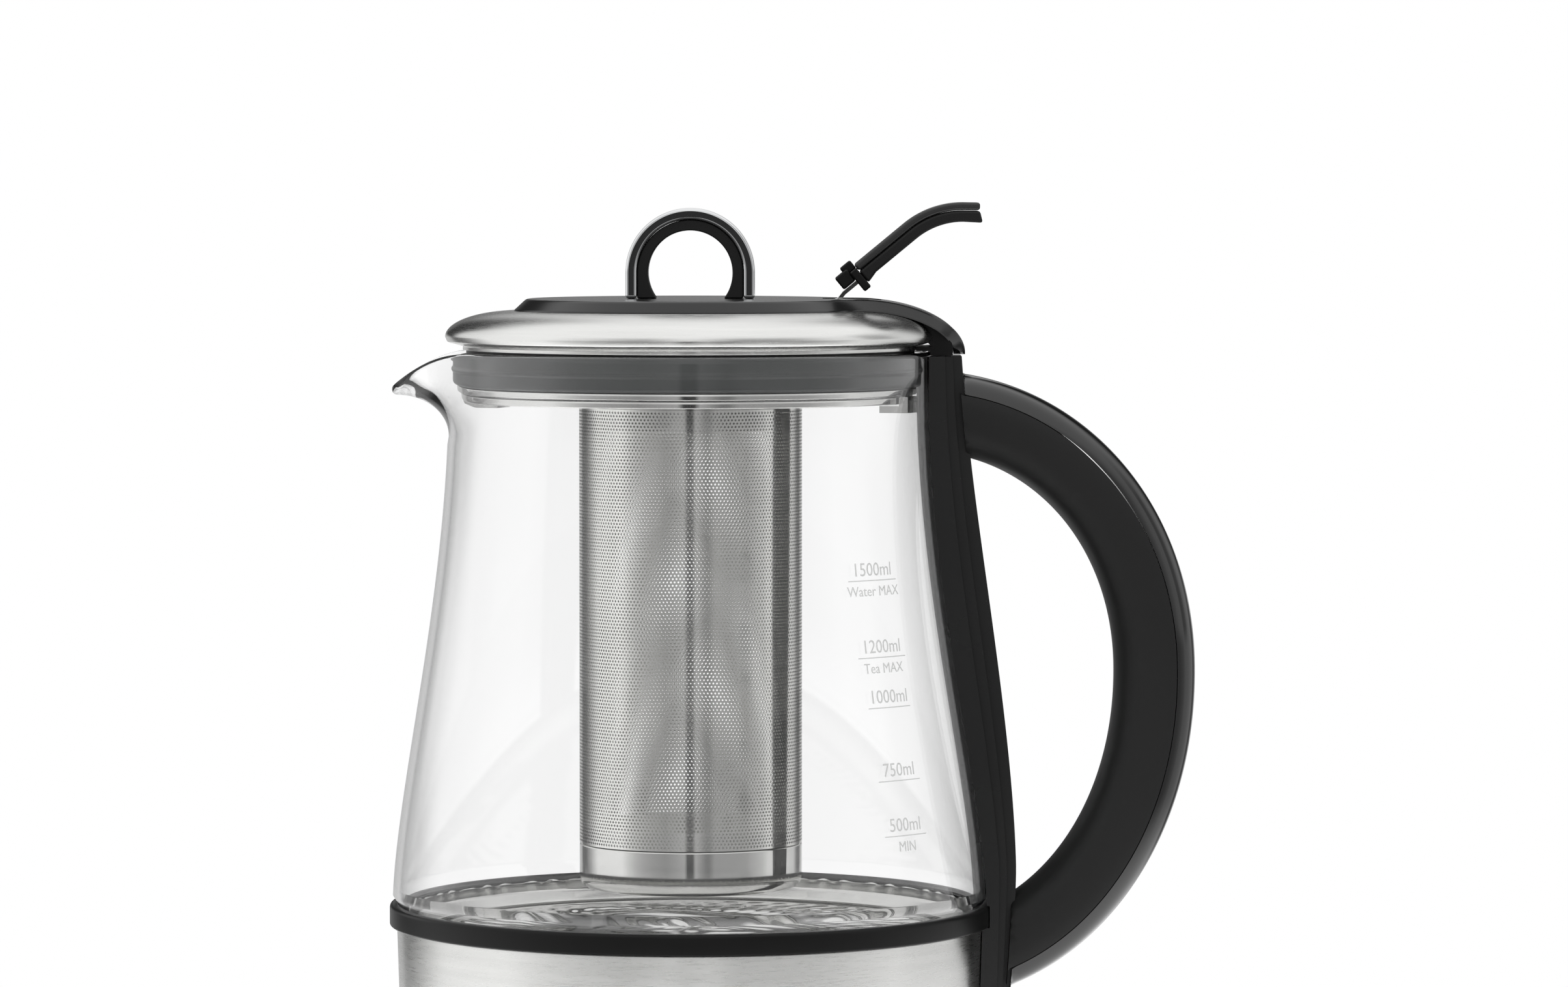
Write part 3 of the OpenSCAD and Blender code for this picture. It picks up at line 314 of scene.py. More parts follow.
paper, tree = new_material("white_paper_sweep")
look = add(tree, "LightPath")
clear_look = add(tree, "Math", {0: look.outputs["Is Camera Ray"], 1: look.outputs["Is Transmission Ray"]},
                 operation="MAXIMUM")
looks = add(tree, "Math", {0: clear_look, 1: look.outputs["Is Glossy Ray"]}, operation="MAXIMUM")
glow = add(tree, "Emission", {"Color": WHITE, "Strength": 0.5})
matte = add(tree, "BsdfDiffuse", {"Color": linear("#d8d8d8")})
near = add(tree, "AddShader", {0: glow, 1: matte})
plain = add(tree, "Emission", {"Color": WHITE, "Strength": 1.0})
spot = add(tree, "VectorMath", {0: add(tree, "TexCoord").outputs["Object"]}, operation="LENGTH")
away = add(tree, "MapRange", {"Value": spot, "From Min": PAPER_NEAR, "From Max": PAPER_FAR},
           interpolation_type="SMOOTHSTEP")
mirror_look = add(tree, "Math", {0: look.outputs["Glossy Depth"], 1: 1.0}, operation="MINIMUM")
gone = add(tree, "BsdfTransparent")
far = add(tree, "MixShader", {0: mirror_look, 1: plain, 2: gone})
both = add(tree, "MixShader", {0: away, 1: near, 2: far})
output(tree, add(tree, "MixShader", {0: looks, 1: matte, 2: both}))
floor_mesh.materials.append(paper)
print("paper", 2 * REACH, "m wide")

# %% [markdown]
# ## Finishes
#
# Moulded plastic shows a faint cloudiness from the mould, so its roughness and tone
# vary a little over some 35 mm, and a fine grain lifts its surface.


# %% Moulded surfaces
CLOUD_MM = 35.0


def moulded(name, colour, roughness, grain_mm, depth_mm, level=0.5):
    """A moulded surface: cloudy roughness, a fine grain and a slight change of tone."""
    material, tree = new_material(name)
    place = add(tree, "TexCoord").outputs["Object"]
    grain = add(tree, "TexNoise", {"Vector": place, "Scale": 1000 / grain_mm, "Detail": 2.0})
    cloud = add(tree, "TexNoise", {"Vector": place, "Scale": 1000 / CLOUD_MM, "Detail": 3.0})
    rough = add(tree, "MapRange", {"Value": cloud, "To Min": roughness * 0.88, "To Max": roughness * 1.12})
    base = np.array(linear(colour))
    tone = add(tree, "Mix",
               {0: cloud, 6: (*base[:3] * 0.93, 1), 7: (*base[:3] * 1.07, 1)},
               data_type="RGBA")
    bump = add(tree, "Bump", {"Strength": 0.6, "Distance": depth_mm * MM, "Height": grain})
    skin = add(tree, "BsdfPrincipled",
               {"Base Color": tone, "Roughness": rough,
                "Specular IOR Level": level, "Normal": bump})
    output(tree, skin)
    return material


# %% Plastic, rubber and silicone
# Polypropylene with a satin spark-eroded skin: collar ring, plug, base
satin_black = moulded("satin_black_polypropylene", "#0c0c0c", 0.34, 0.5, 0.012, 0.2)
# The lid's plate and tongue come from a polished mould
polished_black = moulded("polished_mould_polypropylene", "#121212", 0.2, 0.8, 0.003, 0.5)
# The same plastic with a duller skin: the loop's core, the lever's lower half
matt_black = moulded("matt_black_polypropylene", "#101010", 0.5, 0.6, 0.02, 0.3)
# Soft-touch coating of the grip: it swallows highlights
soft_touch = moulded("soft_touch_grip_coating", "#191919", 0.5, 0.35, 0.015, 0.25)
# Polished ABS of the strip: it mirrors the room almost sharply
gloss_black = moulded("gloss_black_abs", "#0c0c0c", 0.07, 3.0, 0.002, 0.75)
# The column's mould is a little finer, so that its ledges catch the light
column_black = moulded("fine_satin_polypropylene", "#111111", 0.27, 0.5, 0.008, 0.5)
# ABS of the lever's top half, a shade lighter and glossier than the lower one
grip_abs = moulded("satin_black_abs", "#202020", 0.3, 0.5, 0.006, 0.5)
# Grey ABS of the key caps
key_grey = moulded("satin_grey_key_abs", "#3c3d3f", 0.4, 0.4, 0.01)
# Nitrile feet: dull and slightly dusty
foot_rubber = moulded("black_nitrile_rubber", "#262626", 0.75, 0.5, 0.03, 0.35)
# Food-grade silicone of the lid's seal, dark grey and waxy
seal_silicone = moulded("dark_grey_silicone", "#323333", 0.3, 1.2, 0.003, 0.6)
# Ceramic thermostat body
steatite = moulded("white_steatite_ceramic", "#d9d3c6", 0.4, 0.8, 0.01)
# Green solder-masked glass fibre board
board_green = moulded("green_circuit_board", "#2c5a3a", 0.35, 0.3, 0.008)
# The display's resting grey, and its dark segments
display_grey = moulded("liquid_crystal_grey", "#7d877d", 0.3, 1.0, 0.002)
display_ink = moulded("liquid_crystal_segment", "#20262a", 0.4, 1.0, 0.001)
# Pad-printed enamel ink of the scale, pale grey and thin
scale_ink = moulded("pale_grey_enamel_ink", "#b9bab9", 0.5, 0.3, 0.002)

# %% [markdown]
# Sheet steel is brushed or polished in the direction in which it was turned. That
# leaves fine lines round the axis, and a highlight that spreads across them.


# %% Metal with lines
# Metres of noise for each radian: the smaller, the longer the lines
LINE_TURN = 0.003


def turned_metal(name, colour, roughness, line_mm, depth_mm, anisotropy):
    """A metal with fine lines round the Z axis. They are noise in cylinder coordinates,
    which runs slowly along the angle and quickly along the radius and the height."""
    material, tree = new_material(name)
    place = add(tree, "TexCoord").outputs["Object"]
    xyz = add(tree, "SeparateXYZ", {0: place})
    angle = add(tree, "Math", {0: xyz.outputs["Y"], 1: xyz.outputs["X"]}, operation="ARCTAN2")
    radius = add(tree, "VectorMath",
                 {0: add(tree, "CombineXYZ", {0: xyz.outputs["X"], 1: xyz.outputs["Y"]})},
                 operation="LENGTH")
    slow = add(tree, "Math", {0: angle, 1: LINE_TURN}, operation="MULTIPLY")
    lines = add(tree, "CombineXYZ", {0: slow, 1: radius, 2: xyz.outputs["Z"]})
    scratch = add(tree, "TexNoise",
                  {"Vector": lines, "Scale": 1000 / line_mm, "Detail": 4.0, "Roughness": 0.6})
    broad = add(tree, "TexNoise", {"Vector": lines, "Scale": 1000 / (line_mm * 9), "Detail": 2.0})
    rough = add(tree, "MapRange",
                {"Value": scratch, "From Min": 0.3, "From Max": 0.7,
                 "To Min": roughness * 0.8, "To Max": roughness * 1.2})
    base = np.array(linear(colour))
    tone = add(tree, "Mix",
               {0: broad, 6: (*base[:3] * 0.9, 1), 7: (*np.minimum(base[:3] * 1.08, 1), 1)},
               data_type="RGBA")
    bump = add(tree, "Bump", {"Strength": 0.5, "Distance": depth_mm * MM, "Height": scratch})
    inputs = {"Base Color": tone, "Metallic": 1.0, "Roughness": rough,
              "Normal": bump}
    if anisotropy:
        tangent = add(tree, "Tangent", direction_type="RADIAL", axis="Z")
        inputs.update({"Anisotropic": anisotropy, "Anisotropic Rotation": 0.25,
                       "Tangent": tangent})
    skin = add(tree, "BsdfPrincipled", inputs)
    output(tree, skin)
    return material


# %% Steel and other metals
# 18/8 stainless sheet brushed round the jug with a 120 grit belt
brushed_steel = turned_metal("brushed_stainless_sheet", "#dededc", 0.3, 0.25, 0.008, 0.8)
# The dome is pressed, then brushed on a turntable, a little finer
dome_steel = turned_metal("turntable_brushed_dome", "#ececea", 0.24, 0.22, 0.005, 0.8)
# Polished stainless of ring, rim and cup, and of the drawn floor, which is darker
polished_steel = turned_metal("polished_stainless", "#e4e4e2", 0.06, 0.5, 0.0006, 0.0)
floor_steel = turned_metal("drawn_stainless_floor", "#cfcfcd", 0.05, 0.8, 0.0005, 0.0)
# Etched stainless foil of the basket: even and silky, and paler than sheet
etched_steel = turned_metal("etched_stainless_foil", "#ecece9", 0.12, 1.5, 0.0005, 0.0)
# Bright chromium plate on the loop
chromium = turned_metal("chromium_plate", "#e6e7e8", 0.03, 2.0, 0.0005, 0.0)
cast_aluminium = turned_metal("die_cast_aluminium", "#a9abad", 0.45, 0.8, 0.01, 0.0)
element_steel = turned_metal("element_sheath_steel", "#8b8c8c", 0.4, 0.6, 0.008, 0.0)
contact_brass = turned_metal("contact_brass", "#c09a55", 0.25, 0.5, 0.003, 0.0)
screw_steel = turned_metal("zinc_plated_screw", "#b9bbbd", 0.28, 0.3, 0.003, 0.2)

# %% [markdown]
# Glass is a clear body with a faint greying along its length, which darkens a look
# that runs inside the wall. Shadow and diffuse rays pass straight through it, so that
# what is inside the jug is lit.


# %% Glass and other clear bodies
def clear(name, colour, roughness, ior, shade, density=0.0):
    """A clear body, whose density greys what is seen through its length, as at the edge
    of a glass wall."""
    material, tree = new_material(name)
    place = add(tree, "TexCoord").outputs["Object"]
    drawn = add(tree, "TexNoise", {"Vector": place, "Scale": 1000 / 60.0, "Detail": 1.0})
    bump = add(tree, "Bump", {"Strength": 0.3, "Distance": 0.05 * MM, "Height": drawn})
    body = add(tree, "BsdfPrincipled",
               {"Base Color": linear(colour), "Roughness": roughness, "IOR": ior,
                "Transmission Weight": 1.0, "Normal": bump})
    through = add(tree, "BsdfTransparent", {"Color": linear(shade)})
    rays = add(tree, "LightPath")
    passing = add(tree, "Math",
                  {0: rays.outputs["Is Shadow Ray"], 1: rays.outputs["Is Diffuse Ray"]},
                  operation="MAXIMUM")
    mixed = add(tree, "MixShader", {0: passing, 1: body, 2: through})
    inside = add(tree, "VolumeAbsorption", {"Color": linear("#bcbdbd"), "Density": density})
    add(tree, "OutputMaterial", {"Surface": mixed, "Volume": inside})
    return material


# Borosilicate jug glass: colourless, drawn in a mould, IOR 1.47
jug_glass = clear("borosilicate_glass", "#ffffff", 0.0, 1.47, "#f4f6f6", 18.0)
clear_silicone = clear("clear_silicone", "#e4e4e2", 0.25, 1.41, "#d0d0ce")
# Window over the display: lightly smoked acrylic
smoked_acrylic = clear("smoked_acrylic_window", "#c4cacc", 0.02, 1.49, "#b0b6b8")

# %% [markdown]
# Every solid that stays in the picture takes the finish of its material slot.

# %% Dress the solids
finish_of_slot = {
    "black_satin": satin_black, "black_matte": matt_black, "black_gloss": gloss_black,
    "key_grey": key_grey, "brushed_steel": brushed_steel, "polished_steel": polished_steel,
    "bright_chrome": chromium, "jug_glass": jug_glass, "window_glass": smoked_acrylic,
    "rubber_black": foot_rubber, "silicone_grey": seal_silicone,
    "silicone_clear": clear_silicone, "aluminium": cast_aluminium,
    "element_steel": element_steel, "contact_brass": contact_brass,
    "screw_steel": screw_steel, "board_green": board_green, "lcd_grey": display_grey,
    "ceramic_white": steatite,
}
slot_of_node = {s["node"]: s["material_slot"] for s in frame["record"]["subparts"]}
body_of_node = {n: b for b, members in frame["record"]["behaviour"]["bodies"].items()
                for n in members}
for node_name, solid in frame["nodes"].items():
    solid.data.materials.clear()
    solid.data.materials.append(finish_of_slot[slot_of_node[node_name]])
print(len(finish_of_slot), "finishes on", len(frame["nodes"]), "solids")

# %% [markdown]
# ## Surfaces as arrays
#
# Each new piece is a grid of points, worked out as whole arrays, whose neighbours
# are joined by four-sided faces. Points that coincide, as at a pole, are merged and
# the faces are turned outwards before the piece joins its body.


# %% Helpers for meshes
def grid_faces(rows, columns, wrap_rows=False, wrap_columns=True):
    """Corner numbers of the faces between neighbouring points of a grid."""
    r = np.arange(rows if wrap_rows else rows - 1)
    c = np.arange(columns if wrap_columns else columns - 1)
    r, c = (a.ravel() for a in np.meshgrid(r, c, indexing="ij"))
    r2, c2 = (r + 1) % rows, (c + 1) % columns
    return np.stack([r * columns + c, r * columns + c2, r2 * columns + c2, r2 * columns + c], -1)


def end_caps(rows, columns):
    """The flat faces that close a grid's first and last row."""
    return [list(range(columns)), list(range(rows * columns - 1, (rows - 1) * columns - 1, -1))]


def closed_mesh(name, points, faces, clean=True):
    """A mesh in metres from points in millimetres, its doubles merged and its faces
    turned outwards."""
    mesh = bpy.data.meshes.new(name)
    mesh.from_pydata((np.reshape(points, (-1, 3)) * MM).tolist(), [], [list(f) for f in faces])
    if clean:
        shell = bmesh.new()
        shell.from_mesh(mesh)
        bmesh.ops.remove_doubles(shell, verts=shell.verts, dist=1e-6)
        bmesh.ops.recalc_face_normals(shell, faces=shell.faces)
        shell.to_mesh(mesh)
        shell.free()
    return mesh


def build(name, points, faces, material, node, bevel=0.0, smooth=40, clean=True, replace=True):
    """A piece from points in millimetres, in the material given. It rides as its node does,
    and takes the node's place unless it is print on it."""
    mesh = closed_mesh(name, points, faces, clean)
    mesh.shade_smooth()
    if smooth and not bevel:
        mesh.set_sharp_from_angle(angle=np.radians(smooth))
    mesh.materials.append(material)
    piece = new_object(name, mesh)
    if bevel:
        edge = piece.modifiers.new("rounded_edges", "BEVEL")
        edge.width, edge.segments = bevel * MM, 4
        edge.limit_method, edge.angle_limit = "ANGLE", np.radians(smooth)
        edge.harden_normals = True
    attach(piece, body_of_node[node])
    if replace:
        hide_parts(node)
        print(f"{name}: {len(mesh.polygons)} faces in place of {node}")
    return piece


def carve(piece, points, faces, smooth=40):
    """Cuts the shape of a second mesh, in millimetres, out of a piece."""
    cutter = new_object("cutter", closed_mesh("cutter", points, faces))
    cut = piece.modifiers.new("recess", "BOOLEAN")
    cut.operation, cut.solver, cut.object = "DIFFERENCE", "EXACT", cutter
    bpy.context.view_layer.update()
    shaped = piece.evaluated_get(bpy.context.evaluated_depsgraph_get())
    piece.data = bpy.data.meshes.new_from_object(shaped)
    piece.modifiers.clear()
    piece.data.set_sharp_from_angle(angle=np.radians(smooth))
    bpy.data.objects.remove(cutter)


print("an open grid of 4 by 5 points has", len(grid_faces(4, 5, wrap_columns=False)), "faces")

# %% [markdown]
# Most sections are outlines with softened corners. They are turned round the axis, or
# carried straight across to make a plate.


# %% Helpers for sections
def rounded(corners, steps=5):
    """A closed outline of (x, z, setback) corners. Each corner with a setback becomes
    the parabola that touches both its sides at that distance from it."""
    p = np.array([c[:2] for c in corners], float)
    back = np.array([c[2] for c in corners], float)
    outline = []
    for i, corner in enumerate(p):
        if back[i] == 0:
            outline.append(corner[None])
            continue
        before, after = p[i - 1] - corner, p[(i + 1) % len(p)] - corner
        start = corner + before / np.linalg.norm(before) * back[i]
        end = corner + after / np.linalg.norm(after) * back[i]
        t = np.linspace(0, 1, steps + 1)[:, None]
        outline.append((1 - t) ** 2 * start + 2 * t * (1 - t) * corner + t**2 * end)
    return np.concatenate(outline)


def revolve(outline, segments=256):
    """Points of a closed (radius, z) outline turned round the Z axis, and their faces."""
    turn = np.linspace(0, 2 * np.pi, segments, endpoint=False)
    r, z = outline[:, 0][:, None], outline[:, 1][:, None]
    points = np.stack([r * np.cos(turn), r * np.sin(turn), z + 0 * turn], -1)
    return points, grid_faces(len(outline), segments, wrap_rows=True)


def turned(name, corners, material, node):
    """A turned piece that replaces a solid, from the corners of its section."""
    return build(name, *revolve(rounded(corners)), material, node)


def plate_solid(outline, half_width):
    """Points and faces of an outline in the XZ plane carried from -y to +y, with flat ends."""
    y = np.array([-half_width, half_width])[:, None]
    x, z = outline[:, 0][None], outline[:, 1][None]
    points = np.stack([x + 0 * y, y + 0 * x, z + 0 * y], -1)
    return points, grid_faces(2, len(outline)).tolist() + end_caps(2, len(outline))


def block_shape(low, high):
    """Points and faces of the block between two corners, even about y = 0."""
    (x0, y0, z0), (x1, y1, z1) = low, high
    return plate_solid(np.array([(x0, z0), (x1, z0), (x1, z1), (x0, z1)]), (y1 - y0) / 2)


def smooth_step(t):
    """A step from 0 to 1 that starts and ends level: 3 t^2 - 2 t^3."""
    t = np.clip(t, 0, 1)
    return t * t * (3 - 2 * t)


print("a step is", smooth_step(0.25), "at a quarter of its way")

# %% [markdown]
# ## The glass
#
# The jug is blown in a mould: widest just above the black ring, it closes to a
# straight neck, and the lip is pulled out by hand while it is hot. Its outer radius
# is a smooth step between the belly and the neck. Round the lip each upright line
# is mixed with a quarter ellipse that bends outwards.

# %% The jug's curve
LIP_RISE, LIP_ROUND = 10.6, 2.2
CROWN, LIP_CROWN = 0.8, 1.4
FOOT_STEP = 1.5
WALL_LEVELS = 56
lip_reach = lip_tip - LIP_CROWN
foot_r, foot_z = belly_r - FOOT_STEP, ring_z + 2.6


def glass_radius(z):
    """Outer radius of the glass at height z."""
    t = np.maximum(0, (z - belly_z) / (waist_z - belly_z))
    return belly_r + (neck_r - belly_r) * smooth_step(t**0.8)


def lip_line(q, depth, pull):
    """Radius and height of the wall's upper part. q runs from 0 to 1 up the wall, depth
    is 0 outside and the wall's thickness inside, and pull is 1 along the lip's middle."""
    z = lip_z + (rim_z - CROWN - lip_z) * q
    bent_r = lip_reach - (lip_reach - neck_r + depth) * np.cos(q * np.pi / 2)
    bent_z = lip_z + (LIP_RISE + depth) * np.sin(q * np.pi / 2)
    sink = pull**LIP_ROUND
    return (1 - pull) * (glass_radius(z) - depth) + pull * bent_r, (1 - sink) * z + sink * bent_z


def wall_line(depth):
    """Radius and height of the wall from its foot to where the lip starts."""
    z = np.linspace(ring_top + 0.1, lip_z, WALL_LEVELS, endpoint=False)
    step = FOOT_STEP * (1 - smooth_step((z - ring_top) / 2.0))
    r = glass_radius(z) - depth - step
    return np.append(foot_r - depth, r), np.append(foot_z, z)


print("glass radius from", round(glass_radius(belly_z), 1), "to", round(glass_radius(waist_z), 1), "mm")

# %% [markdown]
# The wall's section is drawn for every degree round the jug: up the outside, over the
# rounded crown and down the inside. A squared cosine fades the pull of the lip from
# its middle to both its sides, and a bead thickens its edge.

# %% The glass wall
LIP_HALF_ANGLE, LIP_BEAD = 29.0, 0.9
ANGLES = 360
around = np.linspace(0, 2 * np.pi, ANGLES, endpoint=False)
from_lip = np.degrees(np.abs(around - np.pi))
fade = np.cos(np.radians(90 * np.minimum(from_lip / LIP_HALF_ANGLE, 1))) ** 2
pull = np.where(from_lip < LIP_HALF_ANGLE, fade, 0)[:, None]
q = np.linspace(0, 1, 22)[None]
outside = np.stack(lip_line(q, 0.0, pull), -1)
bead = LIP_BEAD * pull * smooth_step((q - 0.7) / 0.3)
inside = np.stack(lip_line(q[:, ::-1], GLASS_WALL + bead[:, ::-1], pull), -1)
u = np.linspace(0, np.pi, 10)[1:-1][None, :, None]
top_out, top_in = outside[:, -1:], inside[:, :1]
crown_way = np.concatenate([LIP_CROWN * pull, CROWN * (1 - pull)], -1)[:, None]
crown = (top_out + top_in) / 2 + (top_out - top_in) / 2 * np.cos(u) + crown_way * np.sin(u)
wall_shape = (ANGLES, WALL_LEVELS + 1, 2)
wall_out = np.broadcast_to(np.stack(wall_line(0.0), -1), wall_shape)
wall_in = np.broadcast_to(np.stack(wall_line(GLASS_WALL), -1)[::-1], wall_shape)
section = np.concatenate([wall_out, outside, crown, inside, wall_in], 1)
glass_points = np.stack([section[..., 0] * np.cos(around)[:, None],
                         section[..., 0] * np.sin(around)[:, None], section[..., 1]], -1)
build("glass_wall", glass_points, grid_faces(ANGLES, section.shape[1], True), jug_glass, "glass_body",
      smooth=0)

# %% [markdown]
# ## The steel foot
#
# A pressed shell, folded in at the table end, a black ring that grips shell and
# glass, and the polished floor that the water is heated through.

# %% Shell and ring
shell_r, fold, shell_low_r = shell_high[1], 2.2, shell_high[1] - 1.3
turned("foot_shell", [
    (shell_low_r - fold, shell_low[2], 0.3), (shell_low_r, shell_low[2], 2.0),
    (shell_r, shell_high[2], 0.4), (shell_r - 3.4, shell_high[2], 0.1),
    (shell_r - 3.4, shell_high[2] - SHEET, 0.1), (shell_r - SHEET, shell_high[2] - SHEET, 0.3),
    (shell_low_r - SHEET, shell_low[2] + SHEET, 1.2), (shell_low_r - fold, shell_low[2] + SHEET, 0.1),
], brushed_steel, "steel_shell")
turned("collar", [
    (shell_r - 3.3, ring_z, 0.1), (ring_r, ring_z, 0.5), (ring_r, ring_top, 1.1),
    (foot_r + SEAT_GAP, ring_top, 0.25), (foot_r + SEAT_GAP, ring_z + 0.6, 0.1),
    (shell_r - 3.3, ring_z + 0.6, 0.1),
], satin_black, "collar_ring")

# %% [markdown]
# The floor is a shallow pan: it turns up to a brim just inside the glass, and out
# below the brim into the flange that the glass stands on. Pulling such a disc leaves
# it faintly wavy, so low ripples in the mesh break up what it mirrors, and a finer
# waviness runs round the brim.

# %% The polished floor
floor_z = ring_z - 1.2
floor_top, flange_z = floor_z - 0.1, ring_z + 0.6 + SEAT_GAP / 2
rise_r = foot_r - 4.2
brim_r, brim_z = foot_r - GLASS_WALL - 0.3, ring_top - 1.2
pan_edge = rounded([
    (0.01, floor_top, 0), (rise_r - 3, floor_top, 1.5), (rise_r, flange_z + SHEET, 0.6),
    (brim_r - 0.5, brim_z, 0.2), (brim_r, brim_z, 0.2), (brim_r, flange_z + SHEET, 0.1),
    (foot_r - 0.2, flange_z + SHEET, 0.2), (foot_r - 0.2, flange_z, 0.2), (rise_r + SHEET, flange_z, 0.2),
    (rise_r + SHEET - 2.5, floor_z - SHEET, 1.0), (0.01, floor_z - SHEET, 0)])
FLOOR_ROWS, FLOOR_COLUMNS = 100, 480
inner_r = np.linspace(0.01, rise_r - 5, FLOOR_ROWS)
pan = np.concatenate([np.stack([inner_r, np.full(FLOOR_ROWS, floor_top)], -1), pan_edge[1:]])
points, faces = revolve(pan, FLOOR_COLUMNS)
x, y = points[..., 0], points[..., 1]
reach, bearing = np.hypot(x, y), np.arctan2(y, x)
# Low waves run outwards along a warped radius and across the pan, and finer ones toward
# the brim slant with the bearing. They fade where the pan turns up.
warped = reach + 5 * np.sin(2 * bearing + 0.4) + 2.5 * np.sin(3 * bearing - 1.1)
ripple = 0.14 * np.sin(warped / 3.4) + 0.14 * np.sin(x / 16.0 + 1.3) * np.sin(y / 5.0 + 0.4)
ripple += 0.05 * np.sin(warped / 1.3 + 2 * np.sin(bearing * 5))
ripple += 0.06 * smooth_step((reach - 30) / 20) * np.sin(60 * bearing + warped / 1.8)
ripple *= 1 - smooth_step((reach - 61) / 4.2)
points[:FLOOR_ROWS, :, 2] += ripple[:FLOOR_ROWS]
at_brim = smooth_step((points[..., 2] - flange_z - 1.5) / (brim_z - flange_z - 1.5))
points[..., 2] += at_brim * (0.22 * np.sin(60 * bearing) + 0.14 * np.sin(83 * bearing + 1))
build("jug_floor", points, faces, floor_steel, "floor_plate")

# %% [markdown]
# ## The lid
#
# A brushed dome, a black plate that flows into the tongue over the handle, and
# below them the plug with its silicone seal and its bright ring. The dome's section
# is a quarter ellipse. Below its rim the sheet runs inwards and ends in a short skirt
# round the plug's flange.

# %% Dome
dome_r, dome_top = dome_high[1], dome_high[2]
dome_z = rim_z + 3.9
dome_h = dome_top - dome_z
plate_r = plate_high[1]
plug_r = seal_r - 3.3
HIDDEN_R = 37.0
arc = np.radians(np.linspace(0, 90, 40))


def dome_curve(thin):
    """The dome's section: a quarter ellipse from the plate's rim to the widest line."""
    return np.stack([plate_r + (dome_r - plate_r - thin) * np.sin(arc),
                     dome_z + (dome_h - thin) * np.cos(arc)], -1)


# The first corner lies on the dome and only starts the outline, so its points are left out
skirt_r, skirt_z = plug_r + 2.0, rim_z + 0.5
under = rounded([(dome_r - 0.02, dome_z, 0.01), (dome_r - 0.5, dome_z - 1.3, 0.35),
                 (skirt_r, dome_z - 2.4, 0.25), (skirt_r, skirt_z, 0.1), (skirt_r - SHEET, skirt_z, 0.1),
                 (skirt_r - SHEET, dome_z - 2.4 + SHEET, 0.2), (dome_r - 1.4, dome_z - 0.5, 0.1)])[6:]
dome_line = np.concatenate([[(HIDDEN_R, dome_top)], dome_curve(0.0), under,
                            dome_curve(SHEET)[::-1], [(HIDDEN_R, dome_top - SHEET)]])
dome = build("dome", *revolve(dome_line, 320), dome_steel, "lid_dome")

# %% [markdown]
# The plug carries the silicone seal, whose thin lip is all that touches the neck, and
# a folded ring of polished sheet holds the seal up. All three are turned.

# %% Plug, seal and ring
plug_low, plug_top = gasket_low[2] - 0.1, rim_z + 1.3
seal_lip, seal_body = rim_z - 4.8, seal_r - 0.5
turned("plug", [
    (plug_r - 3, plug_top - 1.9, 0.2), (plug_r - 3, plug_low, 0.3), (plug_r - 0.1, plug_low, 0.3),
    (plug_r - 0.1, plug_top - 1.9, 0.1), (plug_r + 1.1, plug_top - 1.9, 0.2),
    (plug_r + 1.1, plug_top, 0.4), (0.01, plug_top, 0), (0.01, plug_top - 1.9, 0),
], satin_black, "lid_plug")
turned("seal", [
    (plug_r, plug_low + 0.1, 0.1), (seal_body, plug_low + 0.1, 1.2), (seal_body, seal_lip - 0.8, 0.3),
    (seal_r, seal_lip - 0.2, 0.2), (seal_r, seal_lip + 0.2, 0.2), (seal_body, seal_lip + 0.7, 0.3),
    (seal_body, plug_top - 2, 0.6), (plug_r, plug_top - 2, 0.1),
], seal_silicone, "lid_gasket")
ring_edge, ring_face, RING_DROP = seal_r - 1.7, plug_low - 0.05, 1.7
turned("retaining_ring", [
    (plug_r - 14, ring_face, 0.1), (ring_edge, ring_face, 0.35), (ring_edge, ring_face - RING_DROP, 0.25),
    (ring_edge - SHEET, ring_face - RING_DROP, 0.2), (ring_edge - SHEET, ring_face - SHEET, 0.3),
    (plug_r - 14, ring_face - SHEET, 0.1),
], polished_steel, "plug_ring")

# %% [markdown]
# Plate and tongue are one skin. Seen from above its outline is a circle, a fillet, a
# straight side and a rounded end. Seen from the side its ridge is level and then
# falls in a quarter ellipse behind the glass. A sloping edge of constant width runs
# all the way round: each row of it lies a little further out and further down.

# %% Outline of plate and tongue
tongue_end, tongue_low = plate_high[0], column_high[2] + 0.3
TONGUE_HALF, TONGUE_FILLET, TONGUE_ROUND = 15.0, 15.0, 8.0
TONGUE_DROP = 28.0
EDGE_IN = np.array([5.0, 3.9, 3.3, 2.9, 2.4, 0.75, 0.4, 0.12, 0.0])
EDGE_DOWN = np.array([0.0, 0.03, 0.12, 0.33, 0.75, 2.3, 2.6, 2.85, 3.1])
meet_x = np.sqrt((plate_r + TONGUE_FILLET) ** 2 - (TONGUE_HALF + TONGUE_FILLET) ** 2)
leave = np.arcsin((TONGUE_HALF + TONGUE_FILLET) / (plate_r + TONGUE_FILLET))
disc_turn = np.linspace(np.pi, leave, 90)[:-1]
fillet_turn = np.linspace(leave + np.pi, 1.5 * np.pi, 16)[:-1]
end_turn = np.linspace(np.pi / 2, 0, 36)
end_x = tongue_end - TONGUE_ROUND
outline = np.concatenate([
    plate_r * np.stack([np.cos(disc_turn), np.sin(disc_turn)], -1),
    (meet_x, TONGUE_HALF + TONGUE_FILLET)
    + TONGUE_FILLET * np.stack([np.cos(fillet_turn), np.sin(fillet_turn)], -1),
    np.stack([np.linspace(meet_x, end_x, 12)[:-1], np.full(11, TONGUE_HALF)], -1),
    np.stack([end_x + TONGUE_ROUND * np.cos(end_turn) ** 0.75, TONGUE_HALF * np.sin(end_turn) ** 0.75], -1)])
way = np.gradient(outline, axis=0)
outward = np.stack([-way[:, 1], way[:, 0]], -1) / np.linalg.norm(way, axis=1)[:, None]
